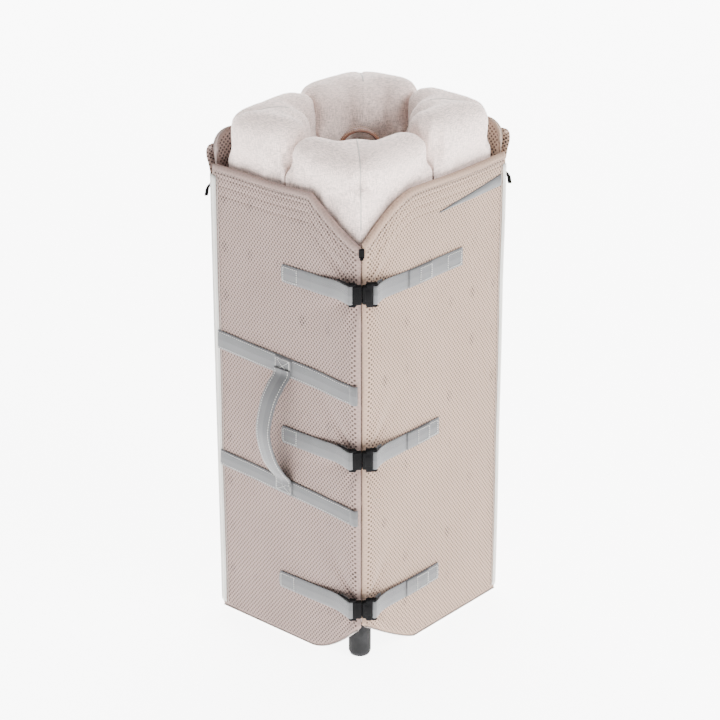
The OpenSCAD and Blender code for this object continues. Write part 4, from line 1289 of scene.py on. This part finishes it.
# ---------------------------------------------------------------- zips
def zip_side(tag, body, slider_body, origin, out, along):
    """origin: centre line of the zip at z = 0 on the panel's face; out: outward; along: across the tape."""
    o3, n3, a3 = (np.asarray(v, float) for v in (origin, out, along))
    zs = np.linspace(ZLOW + 0.007, ZTOP - 0.007, 60)

    def strip(name, off, w, t, lift, mat):
        path = np.array([o3 + a3 * off + n3 * lift + np.array([0, 0, z]) for z in zs])
        prof = [(x, y) for x, y in web_profile(w, t)]
        ob = sweep(name, row(path), a3, prof, mat)
        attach(ob, body)
        return ob

    t1 = strip("zip_tape_cloth_a_" + tag, -0.0042, 0.0066, 0.0009, 0.0006, M_TAPE)
    strip("zip_tape_cloth_b_" + tag, 0.0042, 0.0066, 0.0009, 0.0006, M_TAPE)
    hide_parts("zip_tape_" + tag)
    # teeth: a chain of small coils
    V, F = [], []
    n = int((zs[-1] - zs[0]) / 0.0017)
    for k in range(n):
        z = zs[0] + 0.0017 * (k + 0.5)
        side = 1 if k % 2 else -1
        c = o3 + a3 * side * 0.0006 + n3 * 0.0008 + np.array([0, 0, z])
        b = len(V)
        for dz in (-0.00055, 0.00055):
            for da, dn in ((-0.0013, 0), (-0.0009, 0.0011), (0.0009, 0.0011), (0.0013, 0)):
                V.append(c + a3 * da + n3 * dn + np.array([0, 0, dz]))
        for e in range(4):
            f = (e + 1) % 4
            F.append((b + e, b + f, b + 4 + f, b + 4 + e))
        F.append((b, b + 1, b + 2, b + 3))
        F.append((b + 7, b + 6, b + 5, b + 4))
    V = row(np.array(V))
    th = fix_normals(make_obj("zip_teeth_" + tag, V, F, mat=M_THREAD, shade=False))
    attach(th, body)
    # slider and puller
    zc = ZTOP - 0.020
    c = row(o3 + np.array([0, 0, zc]))
    M = Matrix(((a3[0], n3[0], 0, c[0]), (a3[1], n3[1], 0, c[1]), (0, 0, 1, c[2]), (0, 0, 0, 1)))
    ps = [rbox("z1", (-0.0044, 0.0018, -0.0055), (0.0044, 0.0048, 0.0058), 0.0013, M_BUCKLE, 3, M),
          rbox("z2", (-0.0016, 0.0044, -0.0020), (0.0016, 0.0070, 0.0048), 0.0010, M_BUCKLE, 3, M),
          rbox("z3", (-0.0034, 0.0048, -0.0120), (0.0034, 0.0068, -0.0015), 0.0010, M_BUCKLE, 3, M)]
    lean = -1.0 if tag == "left" else 1.0
    pp = bezier(np.array([(0.0, 0.0060, -0.0095), (lean * 0.0050, 0.0105, -0.0140), (lean * 0.0100, 0.0160, -0.0220), (lean * 0.0120, 0.0180, -0.0345)]), 18)
    ppw = np.array([(M @ Vector(q))[:] for q in pp])
    ps.append(sweep("pull", ppw, a3, [(0.0030 * math.cos(a), 0.0018 * math.sin(a)) for a in np.linspace(0, 2 * math.pi, 12, endpoint=False)], M_BUCKLE, wscale=np.linspace(0.8, 1.25, len(ppw))))
    so = join("zip_slider_shape_" + tag, ps)
    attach(so, slider_body)
    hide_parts("zip_slider_" + tag)


zip_side("left", "back_cover", "zip_slider_left", (-XO, -YI + 0.008, 0), (-1, 0, 0), (0, 1, 0))
zip_side("right", "back_flap", "zip_slider_right", (XI - 0.008, YO, 0), (0, 1, 0), (1, 0, 0))

# folded fabric tabs at the upper ends of the zips
def tab(name, body, base, out, along, mat, seed, up=0.020):
    """A loop of cloth, wider at its top, that stands off the panel's corner."""
    b3, n3, a3 = (np.asarray(v, float) for v in (base, out, along))
    ctrl = [b3 + n3 * 0.0002 + np.array([0, 0, -0.016]), b3 + n3 * 0.0030 + np.array([0, 0, -0.002]),
            b3 + n3 * 0.0080 + np.array([0, 0, up * 0.55]), b3 + n3 * 0.0090 + np.array([0, 0, up]),
            b3 + n3 * 0.0048 + np.array([0, 0, up * 1.35]), b3 + n3 * 0.0012 + np.array([0, 0, up * 1.10])]
    path = row(bezier(np.array(ctrl), 40))
    r = np.random.RandomState(seed)
    ws = 1 + 0.18 * np.sin(np.linspace(0.3, 4.5, len(path)) + r.rand())
    o = sweep(name, path, a3, web_profile(0.017, 0.0030, 0.0006), mat, wscale=ws)
    at = o.data.attributes.new("plain", "FLOAT", "POINT")
    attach(o, body)
    return o


# painted shade in the left tab's darker mesh copy, painted light in the right tab's lighter copy
tab("corner_tab_left", "back_cover", (-XO - 0.0070, -YI + 0.0055, ZTOP - 0.004), (-1, 0, 0), (0, 1, 0), M_SHADED_MESH_L, 3)
tab("corner_tab_right", "back_flap", (XI - 0.0060, YO + 0.0070, ZTOP + 0.002), (0, 1, 0), (1, 0, 0), M_LIT_MESH_R, 5)

# ---------------------------------------------------------------- pull strap
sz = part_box("pull_strap_webbing")[0].z + 0.005
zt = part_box("pull_strap_webbing")[1].z
AX = np.array([R2, R2, 0])                   # along the bar
NX = np.array([-R2, R2, 0])                  # across it
runs = []
for k, sgn in enumerate((-1, 1)):
    c = AX * sgn * 0.028
    ang = np.linspace(-math.pi * 0.15, -math.pi * 1.0, 12)
    up = [c + NX * 0.0010 + np.array([0, 0, sz + h]) for h in np.linspace(0.174, 0.010, 40)]
    loop = [c + NX * 0.0037 * math.cos(a) + np.array([0, 0, sz + 0.0037 * math.sin(a)]) for a in ang]
    tail = [c - NX * 0.0014 + np.array([0, 0, sz + h]) for h in np.linspace(0.008, 0.034, 10)]
    path = row(np.array(up + loop + tail))
    runs.append(sweep("pull_strap_run_%d" % k, path, AX, web_profile(0.020, 0.0018, 0.0002), M_WEB))
ps = join("pull_strap_shape", runs)
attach(ps, "pull_strap")
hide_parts("pull_strap_webbing")
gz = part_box("pull_strap_grip")[0].z
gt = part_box("pull_strap_grip")[1].z
zc = gz + 0.024
pth = [AX * -0.028 + np.array([0, 0, gz + h]) for h in np.linspace(0.001, 0.022, 8)]
pth += [AX * -0.0305 * math.cos(a) + np.array([0, 0, zc + 0.0330 * math.sin(a)]) for a in np.linspace(0.02, math.pi - 0.02, 44)]
pth += [AX * 0.028 + np.array([0, 0, gz + h]) for h in np.linspace(0.022, 0.001, 8)]
pth = row(np.array(pth))
gr = sweep("leather_grip", pth, NX, [(0.0086 * math.cos(a), 0.0030 * math.sin(a) * (1 - 0.35 * abs(math.cos(a)))) for a in np.linspace(0, 2 * math.pi, 20, endpoint=False)], M_LEATHER)
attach(gr, "pull_strap")
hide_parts("pull_strap_grip")
_, _, s_, n_ = frames(pth, NX)
cen = row(np.array([0, 0, zc]))
outw = pth - cen
nn = np.where(((n_ * outw).sum(1) > 0)[:, None], n_, -n_)
for sg in (-1, 1):
    stitch_line("leather_stitch_%d" % (sg + 1), pth + s_ * sg * 0.0062 + nn * 0.0019, nn, "pull_strap", M_THREAD_B, 0.0032, 0.0003, 0.0022)

# ---------------------------------------------------------------- frame finishes
for n, ob in NODES.items():
    if n.startswith(("post_", "leg_", "half_rail_")):
        m = M_TUBE
    elif n.startswith(("corner_housing_", "rail_latch_", "hub")):
        m = M_FRAMEPL
    elif n.startswith("foot_"):
        m = M_RUBBER
    elif n.startswith("latch_button_"):
        m = M_BUTTON
    else:
        continue
    ob.data.materials.clear()
    ob.data.materials.append(m)
# PIECES-END
# ---------------------------------------------------------------- side netting, gathered beside the posts
RAILS = {
    "front_to_left": ("front", "x"), "left_to_front": ("left", "x"),
    "back_to_right": ("back", "x"), "right_to_back": ("right", "x"),
    "front_to_right": ("front", "y"), "right_to_front": ("right", "y"),
    "back_to_left": ("back", "y"), "left_to_back": ("left", "y"),
}
PIN = 0.028


def fan_net(rail, seed):
    """Netting gathered in folds between a post and a folded rail; its UVs hold where each point lies when the net is
    spread.
    """
    post, ax = RAILS[rail]
    cx, cy = SIGN[post]
    long = ax == "x"
    half = (0.400 if long else 0.270) + PIN
    d_max = 0.0690 if long else 0.0800
    d_min = 0.0145
    n = 17
    m = n * 10 + 1
    t = np.linspace(0, 1, m)                 # 0 at the post, 1 at the rail
    d = d_max + (d_min - d_max) * t
    w = t * t * (3 - 2 * t)
    th = w * math.pi / 2
    h_top = 0.034 + 0 * d
    h_max = 0.653 + 0.047 * smooth(0.30, 0.50, w)
    h_open = np.where(np.cos(th) > 1e-3, (0.653 - d * np.sin(th)) / np.maximum(np.cos(th), 1e-3), 9)
    h_side = np.where(np.sin(th) > 1e-3, (half - 0.0008 - 0.037 * smooth(0.78, 0.90, t) + d * np.cos(th)) / np.maximum(np.sin(th), 1e-3), 9)
    h_bot = np.minimum(np.minimum(h_max, h_open), h_side)
    rows = 72
    r = np.random.RandomState(seed)
    ph = np.interp(t, np.linspace(0, 1, n + 1), np.cumsum(np.r_[0, r.uniform(0.88, 1.12, n)]))
    ph = ph / ph[-1] * n * 2 * math.pi
    env = smooth(0, 0.02, t) * smooth(1, 0.97, t)
    V, UV, plain = [], [], []
    area, width = 0.0, 0.0
    prev = None
    for j in range(rows):
        k = j / (rows - 1)
        h = h_top + (h_bot - h_top) * k
        off = 0.0062 * env * np.sin(ph + 0.25 * math.sin(7 * k)) * (0.80 + 0.20 * math.cos(5 * k + seed))
        a = PIN + d
        if long:
            x, y = cx * a, cy * (PY + off)
        else:
            x, y = cx * (PX + off), cy * a
        P = np.stack([x + OX, y + OY, RAIL_Z - h], -1)
        dd = np.r_[0, np.cumsum(np.linalg.norm(np.diff(P, axis=0), axis=1))]
        # flat position of each point, as the net lies when it is spread
        X = -d * np.cos(th) + h * np.sin(th)
        Z = -h * np.cos(th) - d * np.sin(th)
        width = max(width, dd[-1])
        for i in range(m):
            V.append(P[i])
            UV.append((X[i], Z[i]))
            e = min(k, 1 - k)
            plain.append(1.0 if (e * (h_bot[i] - h_top[i]) < 0.010 or t[i] < 0.01 or t[i] > 0.99) else 0.0)
    V = np.array(V)
    F = [(j * m + i, j * m + i + 1, (j + 1) * m + i + 1, (j + 1) * m + i) for j in range(rows - 1) for i in range(m - 1)]
    G = V.reshape(rows, m, 3)
    e1 = G[:-1, 1:] - G[:-1, :-1]
    e2 = G[1:, :-1] - G[:-1, :-1]
    area = np.linalg.norm(np.cross(e1, e2), axis=-1).sum()
    o = make_obj("side_net_" + rail, V, F, UV, {"plain": plain}, M_NET)
    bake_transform(o)
    if long:
        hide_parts("side_mesh_" + post)
    return o


for si, rl in enumerate(RAILS):
    fan_net(rl, 31 + si)


def sleeve(name, body, x, y, z0, z1, r, seed):
    """Thin padded cloth round a tube, a little wrinkled."""
    zs = np.linspace(z0, z1, 90)
    k = 28
    an = np.linspace(0, 2 * math.pi, k, endpoint=False)
    V, UV = [], []
    for j, z in enumerate(zs):
        e = min(z - z0, z1 - z)
        base = r - 0.0007 * math.exp(-(e / 0.004) ** 2)
        rr = base + 0.00045 * noise2(np.cos(an) * 2 + z * 22, np.sin(an) * 2 - z * 9, seed)
        rr = np.minimum(rr, r + 0.0003)
        for i in range(k):
            V.append((x + OX + rr[i] * math.cos(an[i]), y + OY + rr[i] * math.sin(an[i]), z))
    F = [(j * k + i, j * k + (i + 1) % k, (j + 1) * k + (i + 1) % k, (j + 1) * k + i) for j in range(len(zs) - 1) for i in range(k)]
    # inner wall closes the cloth on the tube
    nb = len(V)
    for z in (z0, z1):
        for i in range(k):
            V.append((x + OX + (r - 0.0016) * math.cos(an[i]), y + OY + (r - 0.0016) * math.sin(an[i]), z))
    top = (len(zs) - 1) * k
    for i in range(k):
        i2 = (i + 1) % k
        F.append((i2, i, nb + i, nb + i2))
        F.append((top + i, top + i2, nb + k + i2, nb + k + i))
        F.append((nb + i2, nb + i, nb + k + i, nb + k + i2))
    o = fix_normals(make_obj(name, V, F, mat=M_HEATHER))
    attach(o, body)
    return o


for si, (rl, (post, ax)) in enumerate(RAILS.items()):
    cx, cy = SIGN[post]
    ln = 0.400 if ax == "x" else 0.270
    x, y = (cx * PIN, cy * PY) if ax == "x" else (cx * PX, cy * PIN)
    sleeve("rail_sleeve_" + rl, "rail_" + rl, x, y, RAIL_Z - ln + 0.024, RAIL_Z - 0.024, 0.0126, 61 + si)
for si, (post, (cx, cy)) in enumerate(SIGN.items()):
    sleeve("post_sleeve_" + post, post + "_post", cx * PX, cy * PY, 0.064, 0.662, 0.0147, 81 + si)
